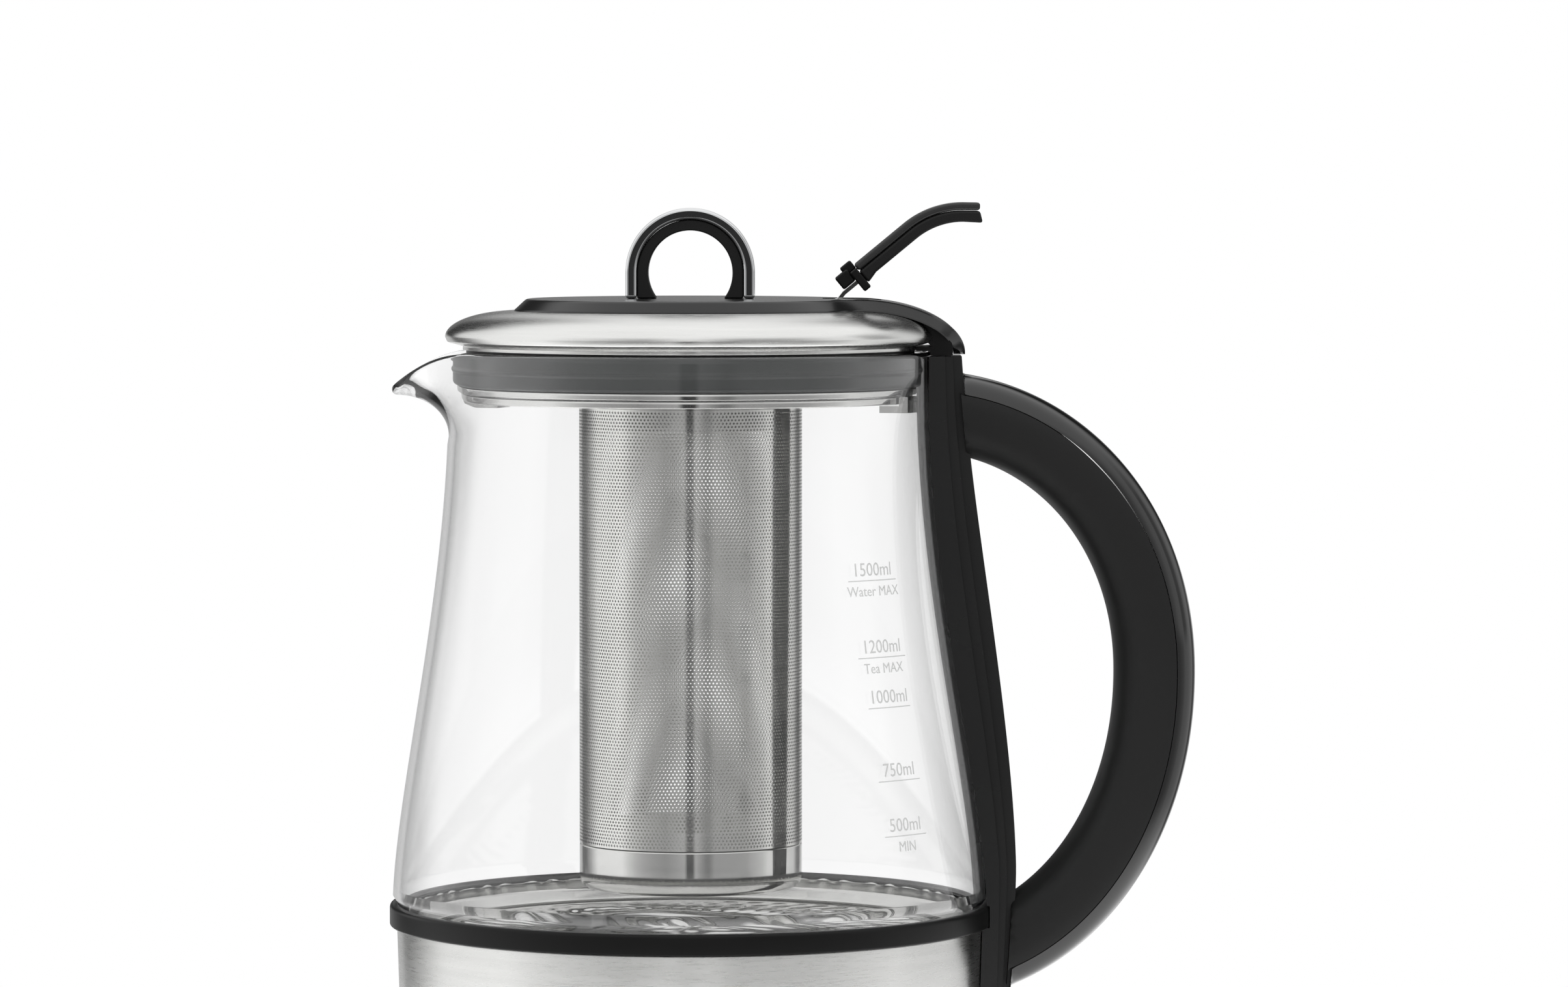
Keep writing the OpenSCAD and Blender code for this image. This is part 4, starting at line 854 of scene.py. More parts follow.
outward[0], outward[-1] = (-1, 0), (1, 0)
# Toward the rounded end the sloping edge turns into the ridge's own fall
narrow = np.where(outline[:, 0] > end_x, np.abs(outward[:, 1]), 1.0)[:, None]


def ridge(x):
    """Height and upward direction of the ridge: level, then a quarter of the ellipse
    z = low + h * sqrt(1 - u^2)."""
    u = np.clip((x - tongue_end + TONGUE_DROP) / TONGUE_DROP, 0, 1)
    h = plate_top - 0.05 - tongue_low
    fall = np.sqrt(np.maximum(0, 1 - u**2))
    normal = np.stack([h * u, TONGUE_DROP * fall], -1)
    return tongue_low + h * fall, normal / np.linalg.norm(normal, axis=-1)[..., None]


print("the plate's outline has", len(outline), "points on each side")

# %% [markdown]
# One half of the skin runs from the ridge's middle line out to the edge and back below
# it. The other half is the same with y turned round.

# %% Plate and tongue
X = outline[:, :1] - outward[:, :1] * EDGE_IN * narrow
Y = outline[:, 1:] - outward[:, 1:] * EDGE_IN * narrow
Z, up = ridge(X)
X, Z = X - EDGE_DOWN * up[..., 0], Z - EDGE_DOWN * up[..., 1]
Y = np.maximum(Y, 0)
across = np.linspace(0, 1, 9)[None, :-1]
level_top = X[:, :1] + 0 * across, Y[:, :1] * across, Z[:, :1] + 0 * across
underside = X[:, -1:] + 0 * across, Y[:, -1:] * across[:, ::-1], Z[:, -1:] + 0 * across
one_half = np.stack([np.concatenate(three, 1) for three in zip(level_top, (X, Y, Z), underside)], -1)
skin = np.concatenate([one_half, one_half[:, -2:0:-1] * (1, -1, 1)], 1)
plate = build("plate_and_tongue", skin, grid_faces(*skin.shape[:2]), polished_black, "lid_plate", smooth=60)

# %% [markdown]
# The lever folds down into a slot, which is the mouth of a small box let into the
# dome. Each is cut out with a boolean that is applied at once.

# %% Slot and box of the lever
SLOT_X, SLOT_HALF = (34.5, 49.8), 6.6
BOX_WALL, BOX_DEEP, ROOM_ROUND = 1.3, 7.0, 0.1
slot_low = (SLOT_X[0], -SLOT_HALF, plate_top - BOX_DEEP + 1.9)
slot_high = (SLOT_X[1], SLOT_HALF, plate_top + 9)
box_low = np.array([SLOT_X[0] - BOX_WALL, -SLOT_HALF - BOX_WALL, plate_top - BOX_DEEP])
box_high = np.array([SLOT_X[1] + BOX_WALL, SLOT_HALF + BOX_WALL, plate_top - 2.0])
spare = (ROOM_ROUND, ROOM_ROUND, 3)
carve(dome, *block_shape(box_low - spare, box_high + spare))
lever_box = build("lever_box", *block_shape(box_low, box_high), matt_black, "lid_plate")
for piece in (plate, lever_box):
    carve(piece, *block_shape(slot_low, slot_high))

# %% [markdown]
# The block below the tongue reaches down to the column, clear of the glass, and laps
# over the glass's rim. Its heel follows the tongue's underside from the end up to
# where the dome hides it. One outline is worked out for each place across.

# %% Block below the tongue
BLOCK_HALF, BLOCK_ROWS = 12.0, 13
heel_under = EDGE_DOWN[-1] - 0.4
block_y = np.linspace(-BLOCK_HALF, BLOCK_HALF, BLOCK_ROWS)
block_in = np.sqrt((neck_r + 0.35) ** 2 - block_y**2)
lap_in, lap_low, lap_top = block_in - 3.6, rim_z + 0.35, dome_z - 2.5
block_end = tongue_end - 3.5
heel_x = tongue_end - np.array([0.5, 1.5, 3.0, 5.0, 7.5, 10.0])
heel_z, heel_up = ridge(heel_x)
heel_x = np.minimum(heel_x - heel_under * heel_up[:, 0], block_end)
heel_z = heel_z - heel_under * heel_up[:, 1]
block = np.array([[(a, y, tongue_low), (block_end, y, tongue_low), *zip(heel_x, 0 * heel_x + y, heel_z),
                   (dome_r - 4, y, dome_z), (a + 0.6, y, lap_top), (b, y, lap_top),
                   (b, y, lap_low), (a, y, lap_low)] for a, b, y in zip(block_in, lap_in, block_y)])
faces = grid_faces(*block.shape[:2]).tolist() + end_caps(*block.shape[:2])
build("tongue_block", block, faces, satin_black, "lid_plate")

# %% [markdown]
# ## The tea basket
#
# The basket is rolled from foil with etched holes in staggered rows. A staggered
# lattice of square holes set on their corners needs few faces: between two
# neighbouring holes lies one straight strip, and where four strips meet lies one
# small square. The real holes stand 0.83 mm apart, which is finer than a picture
# shows, so they are drawn 1 mm apart. The sheet is cut in three along its rows
# because a single mesh of that many faces would be too heavy to pass on.

# %% Lattice of holes
PITCH_COUNT = 183
FOIL = 0.35
basket_r = tube_high[1]
low_edge, high_edge = cup_high[2] - 4.6, tube_high[2] - 1.0
pitch = 2 * np.pi * basket_r / PITCH_COUNT
row_h, HOLE = 0.87 * pitch, 0.37 * pitch
rows = int((high_edge - low_edge) / row_h) - 1
k, i = (g.ravel() for g in np.meshgrid(np.arange(rows), np.arange(PITCH_COUNT), indexing="ij"))
shift = k % 2
corner_x = ((i + 0.5 * shift) * pitch)[:, None] + HOLE * np.array([1, 0, -1, 0])
corner_z = (low_edge + (k + 1) * row_h)[:, None] + HOLE * np.array([0, 1, 0, -1])
RIM_COUNT = 2 * PITCH_COUNT
rim_x = np.arange(RIM_COUNT) * pitch / 2
lattice_x = np.concatenate([corner_x.ravel(), rim_x, rim_x])
lattice_z = np.concatenate([corner_z.ravel(), np.full(RIM_COUNT, low_edge),
                            np.full(RIM_COUNT, low_edge + (rows + 1) * row_h)])
print(rows, "rows of", PITCH_COUNT, "holes,", round(pitch, 2), "mm apart")

# %% [markdown]
# The faces only need the numbers of their corners. A hole knows its own four corners,
# those of its neighbours in the rows above and below, and at the first and last row
# the points of the plain rims.

# %% Faces of the lattice
RIGHT, TOP, LEFT, BOTTOM = range(4)
low_rim = rows * PITCH_COUNT * 4
high_rim = low_rim + RIM_COUNT
first, last = k == 0, k == rows - 1


def hole(row, column, corner):
    """Number of a hole's corner; columns run on round the basket."""
    return (row * PITCH_COUNT + column % PITCH_COUNT) * 4 + corner


def rim_point(start, aside):
    """Number of the rim's point nearest to a hole, or of one to the side of it."""
    return start + (2 * i + shift + aside) % RIM_COUNT


def above(aside, rim_aside, corner):
    """A corner of a hole in the row above, or a point of the upper rim."""
    return np.where(last, rim_point(high_rim, rim_aside),
                    hole(np.minimum(k + 1, rows - 1), i + shift + aside, corner))


def quads(*corners):
    """Four-sided faces from the numbers of their corners."""
    return np.stack(corners, -1)


below = np.where(first, rim_point(low_rim, 1), hole(np.maximum(k - 1, 0), i + shift, TOP))
right_corner, top_corner, left_corner, bottom_corner = (hole(k, i, corner) for corner in range(4))
next_left = hole(k, i + 1, LEFT)
up_right = above(0, 1, BOTTOM)
foil_faces = np.concatenate([
    quads(right_corner, up_right, above(0, 0, LEFT), top_corner),
    quads(top_corner, above(-1, 0, RIGHT), above(-1, -1, BOTTOM), left_corner),
    quads(right_corner, next_left, up_right, up_right),
    quads(right_corner, below, next_left, next_left),
    quads(bottom_corner, rim_point(low_rim, 0), rim_point(low_rim, 1), right_corner)[first],
    quads(left_corner, rim_point(low_rim, -1), rim_point(low_rim, 0), bottom_corner)[first]])
# The gap between rows that each face lies in
foil_gap = np.concatenate([k, k, k, k - 1, np.full(2 * first.sum(), -1)])
print(len(foil_faces), "faces in the flat lattice")

# %% [markdown]
# The flat lattice is rolled into a tube, doubled inwards by the foil's thickness, and
# closed along every open edge.


# %% Rolled foil
def thicken(faces, count):
    """Both skins of a sheet and the walls along every open edge. Corner numbers of the
    inner skin are those of the outer one plus count."""
    edges = np.concatenate([np.stack([faces[:, j], faces[:, (j + 1) % 4]], -1) for j in range(4)])
    edges = edges[edges[:, 0] != edges[:, 1]]
    key, back = edges[:, 0] * count + edges[:, 1], edges[:, 1] * count + edges[:, 0]
    open_edges = edges[~np.isin(key, back)]
    a, b = open_edges.T
    walls = np.stack([b, a, a + count, b + count], -1)
    return np.concatenate([faces, faces[:, ::-1] + count, walls])


def foil_points(radius):
    """The flat lattice rolled to a tube of that radius."""
    turn = lattice_x / basket_r
    return np.stack([radius * np.cos(turn), radius * np.sin(turn), lattice_z], -1)


foil_skin = np.concatenate([foil_points(basket_r), foil_points(basket_r - FOIL)])
bands = np.array_split(np.arange(-1, rows), 3)
for number, band in enumerate(bands):
    chosen_faces = thicken(foil_faces[np.isin(foil_gap, band)], len(lattice_x))
    used, renumbered = np.unique(chosen_faces, return_inverse=True)
    renumbered = renumbered.reshape(chosen_faces.shape)
    faces = [list(dict.fromkeys(f)) for f in renumbered.tolist()]
    build(f"foil_band_{number + 1}", foil_skin[used], faces, etched_steel, "basket_tube", smooth=30,
          clean=False)

# %% [markdown]
# A deep-drawn cup closes the basket below. Its rim above is flanged, so that the two
# clips under the lid can hold it. Both are polished and turned.

# %% Cup and rim of the basket
CUP_BEND = 3.7
basket_low = cup_low[2]
turned("basket_cup_skin", [
    (0.01, basket_low, 0), (basket_r, basket_low, CUP_BEND), (basket_r, cup_high[2] - 5, 0.2),
    (basket_r - 0.7, cup_high[2] - 4.6, 0.2), (basket_r - 0.7, cup_high[2], 0.1),
    (basket_r - 1.2, cup_high[2], 0.1), (basket_r - 1.2, basket_low + 0.6, CUP_BEND - 0.6),
    (0.01, basket_low + 0.6, 0),
], polished_steel, "basket_cup")
band_r, band_z = ring_edge - 1, rim_high[2] - 1.8
turned("basket_rim_skin", [
    (basket_r - 1.3, rim_low[2], 0.1), (basket_r - 0.65, rim_low[2], 0.1), (basket_r - 0.65, band_z, 0.1),
    (band_r, band_z, 0.4), (band_r, rim_high[2], 0.25), (band_r - SHEET, rim_high[2], 0.25),
    (band_r - SHEET, band_z + SHEET, 0.2), (basket_r - 1.3, band_z + SHEET, 0.1),
], polished_steel, "basket_rim")

# %% [markdown]
# ## The loop knob
#
# A bright chromed bow lies round a black core. The bow is half a ring with straight
# legs. The core fills it up to a round opening, which the plate cuts off below.

# %% Loop
trim_low, trim_high = span("loop_trim")
core_low, core_high = span("loop_core")
loop_centre = core_high[2] - core_high[0]
LOOP_R = 11.0


def arch_outline(inner, outer, low, opening=False, steps=64):
    """The closed outline of an arch in the XZ plane: outside up and over, inside back.
    With an opening the inside follows its circle all the way down."""
    t = np.linspace(0, np.pi, steps)
    over = np.stack([outer * np.cos(t), loop_centre + outer * np.sin(t)], -1)
    past = np.arcsin((loop_centre - low) / inner) if opening else 0.0
    b = np.linspace(np.pi + past, -past, steps)
    back = np.stack([inner * np.cos(b), loop_centre + inner * np.sin(b)], -1)
    left_foot = [(-outer, low)] + ([] if opening else [(-inner, low)])
    right_foot = ([] if opening else [(inner, low)]) + [(outer, low)]
    return np.concatenate([over, left_foot, back, right_foot])


core_outline = arch_outline(LOOP_R, core_high[0], core_low[2], True)
build("loop_core_skin", *plate_solid(core_outline, core_high[1]), matt_black, "loop_core", bevel=0.6,
      smooth=50)
bow_outline = arch_outline(core_high[0] + 0.05, trim_high[0], trim_low[2])
build("loop_trim_skin", *plate_solid(bow_outline, trim_high[1]), chromium, "loop_trim", bevel=0.8,
      smooth=50)

# %% [markdown]
# ## The lever
#
# Two moulded halves with a parting line between them follow a straight line and
# then a bend. They hold a steel strip that a pin carries in the plate's slot.

# %% Lever
PIVOT = np.array([38.2, plate_top - 2.4])
LEVER_ANGLE = np.radians(39.5)
LEVER_STRAIGHT, LEVER_BEND, LEVER_TIP = 17.0, 22.0, 4.4
lever_half = span("lever_grip_upper")[1][1]
lever_root = PIVOT + (5.7, 9.5)
forward = np.array([np.cos(LEVER_ANGLE), np.sin(LEVER_ANGLE)])
upward = np.array([-forward[1], forward[0]])
bend_angle = LEVER_ANGLE * (1 - np.linspace(0, 1, 24))
bend_centre = lever_root + LEVER_STRAIGHT * forward - LEVER_BEND * upward
lever_path = np.concatenate([
    lever_root + np.linspace(0, LEVER_STRAIGHT, 6)[:-1, None] * forward,
    bend_centre + LEVER_BEND * np.stack([-np.sin(bend_angle), np.cos(bend_angle)], -1),
    [bend_centre + (LEVER_TIP, LEVER_BEND - 0.07)]])


def beside(path, distance):
    """A path moved sideways by a distance along its normals."""
    way = np.gradient(path, axis=0)
    normal = np.stack([-way[:, 1], way[:, 0]], -1) / np.linalg.norm(way, axis=1)[:, None]
    return path + distance * normal


def lever_half_piece(name, low, high, slant, material, node):
    """One moulded half: the band between two distances from the lever's line."""
    bottom, top = beside(lever_path, low), beside(lever_path, high)
    bottom[0] -= slant * upward
    if slant:
        bottom[-1] += (0.8, -0.2)
    build(name, *plate_solid(np.concatenate([bottom, top[::-1]]), lever_half), material, node, bevel=0.75,
          smooth=50)


PARTING = 0.06
lever_half_piece("lever_top_half", PARTING, 2.098, 0.0, grip_abs, "lever_grip_upper")
lever_half_piece("lever_bottom_half", -3.0, -PARTING, 0.9, matt_black, "lever_grip_lower")

# %% [markdown]
# The collar at the lever's root is a block, a flange that the halves butt against, and
# a rib on top.


# %% Collar of the lever
def along(u, n):
    """A place u along the lever's straight part and n above its line."""
    return lever_root + u * forward + n * upward


# Where each part starts and ends along the lever, below and above its line, and its half width
COLLAR = [((-6.1, -2.1), (-1.3, 2.5), lever_half - 0.8), ((-2.2, 0.0), (-5.1, 1.2), lever_half + 0.5),
          ((-3.5, 0.0), (1.0, 3.7), lever_half - 3)]
for number, (u, n, half) in enumerate(COLLAR):
    corners = np.array([along(u[0], n[0]), along(u[1], n[0]), along(u[1], n[1]), along(u[0], n[1])])
    build(f"lever_collar_{number + 1}", *plate_solid(corners, half), satin_black, "lever_collar", bevel=0.5,
          smooth=50)

# %% [markdown]
# ## The handle
#
# The column lies on the glass, the ring and the foot, and steps back in three
# narrow ledges toward its middle. Each height has one closed loop: the ledged face
# outside, and inside the round of whatever the column lies against there.

# %% Column
foot_low, column_top = column_low[2], column_high[2]
bend_z = ring_z + 15
COLUMN_HALF, COLUMN_T, COLUMN_BULGE = 13.0, 7.5, 3.1
# Half width of each ledge, and its share of the column's depth
LEDGES = [(COLUMN_HALF, 0.4), (10.8, 0.4), (10.8, 0.67), (8.4, 0.67), (8.4, 1.0)]
shell_bottom = shell_low[2] - 0.6


def jug_skin(z):
    """Outer radius of the jug that the column lies against: foot, ring, then glass."""
    foot_part = shell_low_r + (shell_r - shell_low_r) * (z - shell_bottom) / (ring_z - shell_bottom)
    skin = np.where(z < ring_z - 0.15, foot_part, np.where(z < ring_top + 0.15, ring_r, glass_radius(z)))
    return skin + 0.2


def column_depth(z):
    """How far the column stands out from the jug: a sine bulge above the bend."""
    above = COLUMN_T + COLUMN_BULGE * np.sin(np.pi * np.clip((z - bend_z) / (column_top - bend_z), 0, 1))
    below = COLUMN_T - 1.7 * np.maximum(0, (bend_z - z) / 31.5) ** 1.5
    return np.where(z > bend_z, above, below)


def column_face(z):
    """Distance from the axis to the column's outermost face."""
    return glass_radius(np.maximum(z, bend_z)) + column_depth(z)


heights = np.unique(np.concatenate([np.linspace(foot_low, column_top, 90),
                                    [ring_z - 0.16, ring_z - 0.14, ring_top + 0.14, ring_top + 0.16]]))
ledge_y = np.array([y for y, _ in LEDGES] + [-y for y, _ in LEDGES[::-1]])
ledge_share = np.array([s for _, s in LEDGES] + [s for _, s in LEDGES[::-1]])
z = heights[:, None]
round_foot = 3.5 * (1 - smooth_step((z - foot_low) / 4.5))
front_x = glass_radius(np.maximum(z, bend_z)) + ledge_share * (column_depth(z) - round_foot)
back_y = np.linspace(-COLUMN_HALF, COLUMN_HALF, 15)
back_x = np.sqrt(jug_skin(z) ** 2 - back_y**2)
front_x = np.maximum(front_x, np.sqrt(jug_skin(z) ** 2 - ledge_y**2) + 0.3)
loop_x = np.concatenate([front_x, back_x], 1)
loop_y = np.concatenate([ledge_y, back_y])[None] + 0 * loop_x
points = np.stack([loop_x, loop_y, z + 0 * loop_x], -1)
faces = grid_faces(*loop_x.shape).tolist() + end_caps(*loop_x.shape)
build("column_skin", points, faces, column_black, "handle_column", bevel=0.45, smooth=50)

# %% [markdown]
# The grip is a moulding between two ovals, with a soft section that is nearly an
# ellipse. A glossy strip is let into its back along a parting groove. Both are parts
# of one section, which is carried along the ovals and stops at the column.

# %% Grip and strip
GRIP_T, STRIP_T, STRIP_GAP = 21.2, 5.3, 0.2
GRIP_STEPS = 120
grip_half, strip_back = span("handle_grip")[1][1], span("handle_strip")[1][0]
grip_x, grip_z = neck_r - 3.1, ring_z + 66
grip_reach = strip_back - grip_x
grip_up, grip_down = rim_z - 5 - grip_z, grip_z - (shell_bottom + 22.3)
SECTION_POWER, OVAL_POWER = 0.72, 0.97


def signed_power(value, power):
    """A power of the size of a value that keeps its sign."""
    return np.sign(value) * np.abs(value) ** power


def oval(angle, sink):
    """A point of the oval that lies sink millimetres inside the grip's outermost line."""
    up = np.where(np.sin(angle) < 0, grip_down, grip_up)
    return (grip_x + (grip_reach - sink) * signed_power(np.cos(angle), OVAL_POWER),
            grip_z + (up - sink) * signed_power(np.sin(angle), OVAL_POWER))


def grip_piece(name, section_from, section_to, gap, material, node):
    """The grip's section between two angles, carried along the ovals. Points that would
    run into the column stop at a gap from its face."""
    s = np.linspace(section_from, section_to, 40)
    share = 0.5 + 0.5 * signed_power(np.cos(s), SECTION_POWER)
    side_y = grip_half * signed_power(np.sin(s), SECTION_POWER)
    angle = np.radians(np.linspace(-86, 84, GRIP_STEPS))[:, None]
    (x_in, z_in), (x_out, z_out) = oval(angle, GRIP_T), oval(angle, 0.0)
    x, z = x_in + (x_out - x_in) * share, z_in + (z_out - z_in) * share
    x = np.maximum(x, column_face(z) + gap)
    points = np.stack([x, side_y + 0 * x, z], -1)
    faces = grid_faces(*x.shape).tolist() + end_caps(*x.shape)
    build(name, points, faces, material, node, bevel=0.35, smooth=55)


def parting(share):
    """The section angle at which the section is at that share of its thickness."""
    return np.arccos((2 * share - 1) ** (1 / SECTION_POWER))


split = 1 - STRIP_T / GRIP_T
f_grip, f_strip = parting(split), parting(split + STRIP_GAP / GRIP_T)
grip_piece("grip_skin", f_grip, 2 * np.pi - f_grip, -1.0, soft_touch, "handle_grip")
grip_piece("strip_skin", -f_strip, f_strip, 0.12, gloss_black, "handle_strip")

# %% [markdown]
# ## The power base
#
# Seen from above the base is a round with two straight sides that run out to two
# round corners. Every place on that outline has a centre, a radius and a direction,
# so an outline further in is the same one with smaller radii. The top is level up to
# a line, from which the control deck slopes down.

# %% Outline of the base
housing_low, housing_high = span("base_housing")
base_r, base_top, base_foot = housing_high[0], housing_high[2], housing_low[2]
DECK_HALF, DECK_CORNER, DECK_SLOPE = 46.0, 14.0, np.radians(20)
deck_reach, deck_line = -housing_low[1] - DECK_CORNER, base_r + 1
EDGE_R, BASE_WALL, CREASE = 2.4, 2.5, 0.5
boss_hole = 18.7
corner_reach = np.hypot(DECK_HALF, deck_reach)
side_turn = np.arccos((base_r - DECK_CORNER) / corner_reach) - np.arctan2(deck_reach, DECK_HALF)


def stations(turn_from, turn_to, centre_from, centre_to, r_from, r_to, count):
    """Places between two ends: direction, centre and radius change evenly."""
    t = np.linspace(0, 1, count, endpoint=False)[:, None]
    turn = turn_from + (turn_to - turn_from) * t
    centre = np.array(centre_from) * (1 - t) + np.array(centre_to) * t
    return np.concatenate([np.cos(turn), np.sin(turn), centre, r_from + (r_to - r_from) * t], 1)


corner = (DECK_HALF, -deck_reach)
right = np.concatenate([
    stations(-np.pi / 2, -np.pi / 2, (0, -deck_reach), corner, DECK_CORNER, DECK_CORNER, 14),
    stations(-np.pi / 2, side_turn, corner, corner, DECK_CORNER, DECK_CORNER, 16),
    stations(side_turn, side_turn, corner, (0, 0), DECK_CORNER, base_r, 20),
    stations(side_turn, np.pi / 2, (0, 0), (0, 0), base_r, base_r, 60),
    [(0, 1, 0, 0, base_r)]])
left = right[-2:0:-1] * (-1, 1, -1, 1, 1)
station = np.concatenate([right, left])


def base_outline(inset):
    """The outline at a distance inside the outermost one."""
    return station[:, 2:4] + station[:, :2] * (station[:, 4:] - inset)


print(len(station), "places round the base, its sides turned by", round(np.degrees(side_turn), 1), "degrees")

# %% [markdown]
# The housing's skin is a stack of rows: over the top from the connector's hole, round
# the edge, down the side, round the foot, and back up inside.


# %% Housing of the base
def deck_height(y):
    """Height of the top at a place: level, then falling with the deck's slope. The
    crease is rounded as w * log(1 + exp(s / w))."""
    return base_top - np.tan(DECK_SLOPE) * CREASE * np.logaddexp(0, (-deck_line - y) / CREASE)


def base_top_rows(inset, drop):
    """Rows of the top from the connector's hole out to an inset of the outline. Where a
    row's line runs over the deck, rows lie close together at the crease."""
    outer = base_outline(inset)
    hole_edge = boss_hole * outer / np.linalg.norm(outer, axis=1)[:, None]
    run = np.minimum(outer[:, 1] - hole_edge[:, 1], -1e-6)
    crease = np.where(outer[:, 1] < -deck_line, (-deck_line - hole_edge[:, 1]) / run, 0.97)
    crease = np.clip(crease, 0.1, 0.97)
    near = np.where(outer[:, 1] < -deck_line, np.clip(1.5 / -run, 0, 0.02), 0.01)
    shares = [crease * f - near * f for f in np.linspace(0, 1, 9)]
    shares += [crease - near / 2, crease, crease + near / 2]
    shares += [crease + near + (1 - crease - near) * f for f in np.linspace(0, 1, 9)]
    places = [hole_edge + (outer - hole_edge) * share[:, None] for share in shares]
    return [np.column_stack([xy, deck_height(xy[:, 1]) - drop]) for xy in places]


def base_row(inset, height):
    """One row of the outline at a height, or at a depth below the top if negative."""
    xy = base_outline(inset)
    return np.column_stack([xy, height + (deck_height(xy[:, 1]) if height <= 0 else 0 * xy[:, 1])])


skin_rows = base_top_rows(EDGE_R, 0.0)
skin_rows += [base_row(EDGE_R * (1 - np.cos(f)), -EDGE_R * (1 - np.sin(f)))
              for f in np.radians(np.linspace(75, 0, 6))]
skin_rows += [base_row(0, base_foot + 0.8), base_row(0.25, base_foot + 0.25), base_row(0.8, base_foot),
              base_row(BASE_WALL, base_foot)]
skin_rows += base_top_rows(BASE_WALL, BASE_WALL)[::-1]
points = np.stack(skin_rows)
housing = build("base_skin", points, grid_faces(*points.shape[:2], wrap_rows=True), satin_black,
                "base_housing", smooth=35)


def on_deck(points):
    """From the deck's own frame, whose surface is z = 0 and whose y runs up the slope."""
    x, y, z = np.moveaxis(np.asarray(points, float), -1, 0)
    c, s = np.cos(DECK_SLOPE), np.sin(DECK_SLOPE)
    return np.stack([x, y * c - z * s - deck_line, y * s + z * c + base_top], -1)


# %% [markdown]
# Each key is a turned cap with a shallow dish for the finger, in a hole of the
# housing. The holes, the opening for the display's window and the one for the cord's
# bush are cut out of the skin.

# %% Keys and openings
# Half width, half depth and place of the window, then place and radius of each key
WINDOW = (17.0, 6.5, -8.6)
KEY_ROW, KEY_PITCH, KEY_PROUD, KEY_DISH = -21.7, 15.0, 1.4, 0.35
KEYS = {"button_start": (31.0, -10.1, 8.0), "button_warm": (-1.5 * KEY_PITCH, KEY_ROW, 5.2),
        "button_minus": (-0.5 * KEY_PITCH, KEY_ROW, 5.2), "button_plus": (0.5 * KEY_PITCH, KEY_ROW, 5.2),
        "button_tea": (-31.0, -10.1, 5.2)}


def cap_height(r, key_r):
    """Height of a cap's top: a shallow dish, z = proud - dish + dish * (r / R)^2."""
    return KEY_PROUD - KEY_DISH + KEY_DISH * (r / key_r) ** 2


def rod(x, y, r, low, high, sides=64):
    """Points and faces of an upright rod."""
    turn = np.linspace(0, 2 * np.pi, sides, endpoint=False)
    ring = np.stack([x + r * np.cos(turn), y + r * np.sin(turn)], -1)
    points = np.array([np.column_stack([ring, np.full(sides, z)]) for z in (low, high)])
    return points, grid_faces(2, sides).tolist() + end_caps(2, sides)


points, faces = rod(0.0, 0.0, span("cord_bush")[1][0] - 1.1, base_r - 6, base_r + 6)
cord_z = np.mean([corner[2] for corner in span("cord_bush")])
carve(housing, points[..., [0, 2, 1]] + (0, 0, cord_z), faces, smooth=35)

for node, (key_x, key_y, key_r) in KEYS.items():
    points, faces = rod(key_x, key_y, key_r + 0.3, -6.0, 4.0)
    carve(housing, on_deck(points), faces, smooth=35)
    r = np.linspace(0.01, key_r - 0.9, 10)
    cap = np.concatenate([np.stack([r, cap_height(r, key_r)], -1),
                          rounded([(key_r - 0.9, cap_height(key_r, key_r), 0),
                                   (key_r, cap_height(key_r, key_r), 0.8), (key_r, -2.4, 0.1),
                                   (key_r + 1.0, -2.75, 0.1), (key_r + 1.0, -3.8, 0.1),
                                   (2.4, -3.9, 0.1), (2.4, -5.0, 0.1), (0.01, -5.0, 0)])[1:]])
    points, faces = revolve(cap, 96)
    build(node + "_cap", on_deck(points + (key_x, key_y, 0)), faces, key_grey, node)
opening = np.array([WINDOW[0] + SEAT_GAP, WINDOW[1] + SEAT_GAP, 0])
points, faces = block_shape(-opening - (0, 0, 6.0), opening + (0, 0, 4.0))
carve(housing, on_deck(points + (0, WINDOW[2], 0)), faces, smooth=35)

# %% [markdown]
# Signs and digits are thin ribbons of ink. A ribbon follows a line in the deck's own
# frame, a hair above the cap or, for the digits, above the display below its window.


# %% Signs on the keys
def stroke(name, line, width, lift, material, node):
    """A thin printed line: a ribbon along points (x, y) in the deck's frame, at heights
    given for every point, on the body of a node."""
    line = np.asarray(line, float)
    way = np.gradient(line, axis=0)
    beside_line = np.stack([-way[:, 1], way[:, 0]], -1) / np.linalg.norm(way, axis=1)[:, None] * width / 2
    corners = []
    for sign, up_by in ((1, 0.0), (1, 0.04), (-1, 0.04), (-1, 0.0)):
        xy = line + sign * beside_line
        corners.append(np.concatenate([xy, (lift(xy) + up_by)[:, None]], 1))
    points = np.stack(corners, 1)
    n = 4 * len(line)
    faces = grid_faces(len(line), 4).tolist() + [[3, 2, 1, 0], [n - 4, n - 3, n - 2, n - 1]]
    build(name, on_deck(points), faces, material, node, clean=False, replace=False)


def on_key(node):
    """Height of a key's cap under a point."""
    x, y, r = KEYS[node]
    return lambda xy: cap_height(np.hypot(xy[:, 0] - x, xy[:, 1] - y), r) + 0.01


def segment(x0, y0, x1, y1, count=6):
    """Points of a straight line."""
    return np.stack([np.linspace(x0, x1, count), np.linspace(y0, y1, count)], -1)


def arc_line(x, y, r, start, end, count=40):
    """Points of an arc round (x, y) between two angles."""
    t = np.radians(np.linspace(start, end, count))
    return np.stack([x + r * np.cos(t), y + r * np.sin(t)], -1)


def wave_line(height, count=24):
    """Points of one period of a sine."""
    t = np.linspace(0, 1, count)
    return np.stack([-1.8 + 3.6 * t, height + 0.45 * np.sin(2 * np.pi * t)], -1)


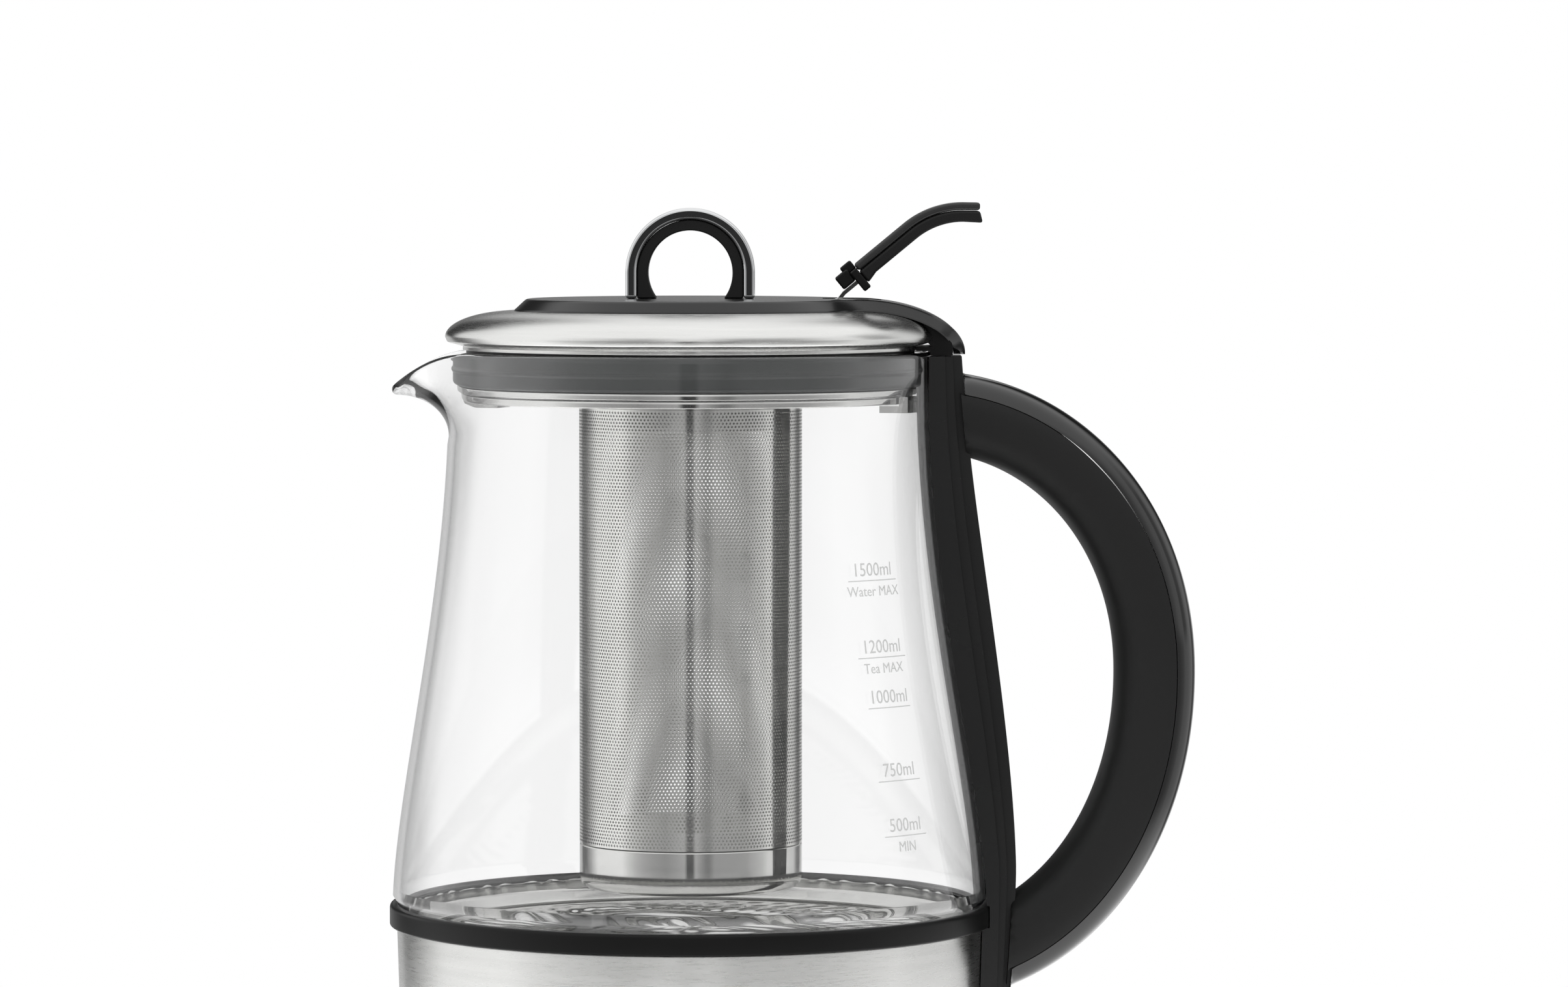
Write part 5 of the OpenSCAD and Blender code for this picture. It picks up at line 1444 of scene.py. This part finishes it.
SIGNS = {
    "button_start": [arc_line(0, -0.3, 3.0, 118, 422), segment(0, 0.8, 0, 3.4)],
    "button_warm": [wave_line(height) for height in (-1.4, 0, 1.4)],
    "button_minus": [segment(-2, 0, 2, 0)],
    "button_plus": [segment(-2, 0, 2, 0), segment(0, -2, 0, -0.3), segment(0, 0.3, 0, 2)],
    "button_tea": [arc_line(-0.4, 1.0, 2.1, 180, 360), segment(-2.5, 1.0, 1.7, 1.0),
                   arc_line(1.7, 0.1, 0.9, -80, 80, 16), segment(-2.1, -1.9, 1.3, -1.9)],
}
for node, lines in SIGNS.items():
    for number, line in enumerate(lines):
        drawn = line + np.array(KEYS[node][:2])
        stroke(f"{node}_sign_{number}", drawn, 0.45, on_key(node), scale_ink, node)
print(sum(map(len, SIGNS.values())), "strokes on the keys")

# %% [markdown]
# The display shows seven-segment digits: 95 degrees Celsius. Each bar runs between two
# places of a grid two cells high.

# %% Digits on the display
DIGIT = {"9": "abcdfg", "5": "acdfg", "o": "abfg", "C": "adef"}
BARS = {"a": (0, 2, 1, 2), "b": (1, 1, 1, 2), "c": (1, 0, 1, 1), "d": (0, 0, 1, 0), "e": (0, 0, 0, 1),
        "f": (0, 1, 0, 2), "g": (0, 1, 1, 1)}
INK_DEPTH = -2.58
for place_x, sign in ((-11.5, "9"), (-4.5, "5"), (2.5, "o"), (7.0, "C")):
    cell = np.array((2.0, 1.7) if sign == "o" else (3.8, 3.4))
    corner = (place_x, WINDOW[2] if sign == "o" else WINDOW[2] - 3.4)
    for bar in DIGIT[sign]:
        ends = corner + np.reshape(BARS[bar], (2, 2)) * cell
        ends += (ends[::-1] - ends) * 0.09
        stroke(f"digit_{sign}_{bar}", segment(*ends.ravel()), 0.7, lambda xy: np.full(len(xy), INK_DEPTH),
               display_ink, "display_module")
print(sum(len(bars) for bars in DIGIT.values()), "bars on the display")

# %% [markdown]
# ## The printed scale
#
# The measuring marks are printed on the glass toward the handle. Each word is made
# as flat text, turned into a mesh and rolled round the jug's own curve.

# %% Print that follows the glass
LETTER = 4.8
RULE_HALF, INK_TALL = 0.13, 0.03


def wrapped(name, mesh, centre_turn, height):
    """Rolls a flat mesh in millimetres round the glass: x goes round, y goes up."""
    count = len(mesh.vertices)
    flat = np.empty(count * 3)
    mesh.vertices.foreach_get("co", flat)
    flat = flat.reshape(-1, 3)
    z = height + flat[:, 1]
    r = glass_radius(z) + 0.02 + flat[:, 2]
    turn = np.radians(-90 + centre_turn) + flat[:, 0] / r
    round_points = np.stack([r * np.cos(turn), r * np.sin(turn), z], -1) * MM
    mesh.vertices.foreach_set("co", round_points.ravel())
    mesh.materials.clear()
    mesh.materials.append(scale_ink)
    piece = new_object(name, mesh)
    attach(piece, "jug")
    return piece


def word(name, text, centre_turn, height, size):
    """A word of the scale, made a mesh before it is rolled."""
    curve = bpy.data.curves.new(name, "FONT")
    curve.body = text
    curve.size = size
    curve.align_x = "CENTER"
    curve.extrude = 0.02
    curve.resolution_u = 3
    holder = bpy.data.objects.new(name + "_flat", curve)
    mesh = bpy.data.meshes.new_from_object(holder)
    bpy.data.objects.remove(holder)
    return wrapped(name, mesh, centre_turn, height)


def rule(name, width, centre_turn, height):
    """A thin line of the scale, cut in pieces so that it follows the glass."""
    x = np.linspace(-width / 2, width / 2, 13)
    loop = np.array([(-RULE_HALF, 0), (RULE_HALF, 0), (RULE_HALF, INK_TALL), (-RULE_HALF, INK_TALL)])
    points = np.stack([x[:, None] + 0 * loop[:, 0], loop[:, 0] + 0 * x[:, None],
                       loop[:, 1] + 0 * x[:, None]], -1).reshape(-1, 3)
    faces = grid_faces(13, 4).tolist() + [[3, 2, 1, 0], [48, 49, 50, 51]]
    mesh = bpy.data.meshes.new(name)
    mesh.from_pydata(points.tolist(), [], faces)
    return wrapped(name, mesh, centre_turn, height)


print("letters", LETTER, "mm tall, rules", 2 * RULE_HALF, "mm thick")

# %% [markdown]
# A mark has its amount above a rule, and some have a note below it. Each amount's
# height follows from how wide the jug is there.

# %% Marks on the glass
# Amount, height, angle round from the front, length of the rule, note below it
MARKS = [(1500, 162.5, 45.4, 17.4, "Water MAX"), (1200, 143.0, 46.1, 17.4, "Tea MAX"),
         (1000, 130.3, 46.6, 15.6, ""), (750, 111.8, 47.0, 15.6, ""), (500, 97.9, 47.1, 15.6, "MIN")]
for amount, height, angle, width, note in MARKS:
    rule(f"rule_{amount}", width, angle, height)
    word(f"amount_{amount}", f"{amount}ml", angle, height + 1.2, LETTER)
    if note:
        word(f"note_{amount}", note, angle, height - 3.9, LETTER * 0.76)
print(len(MARKS), "marks on the glass")
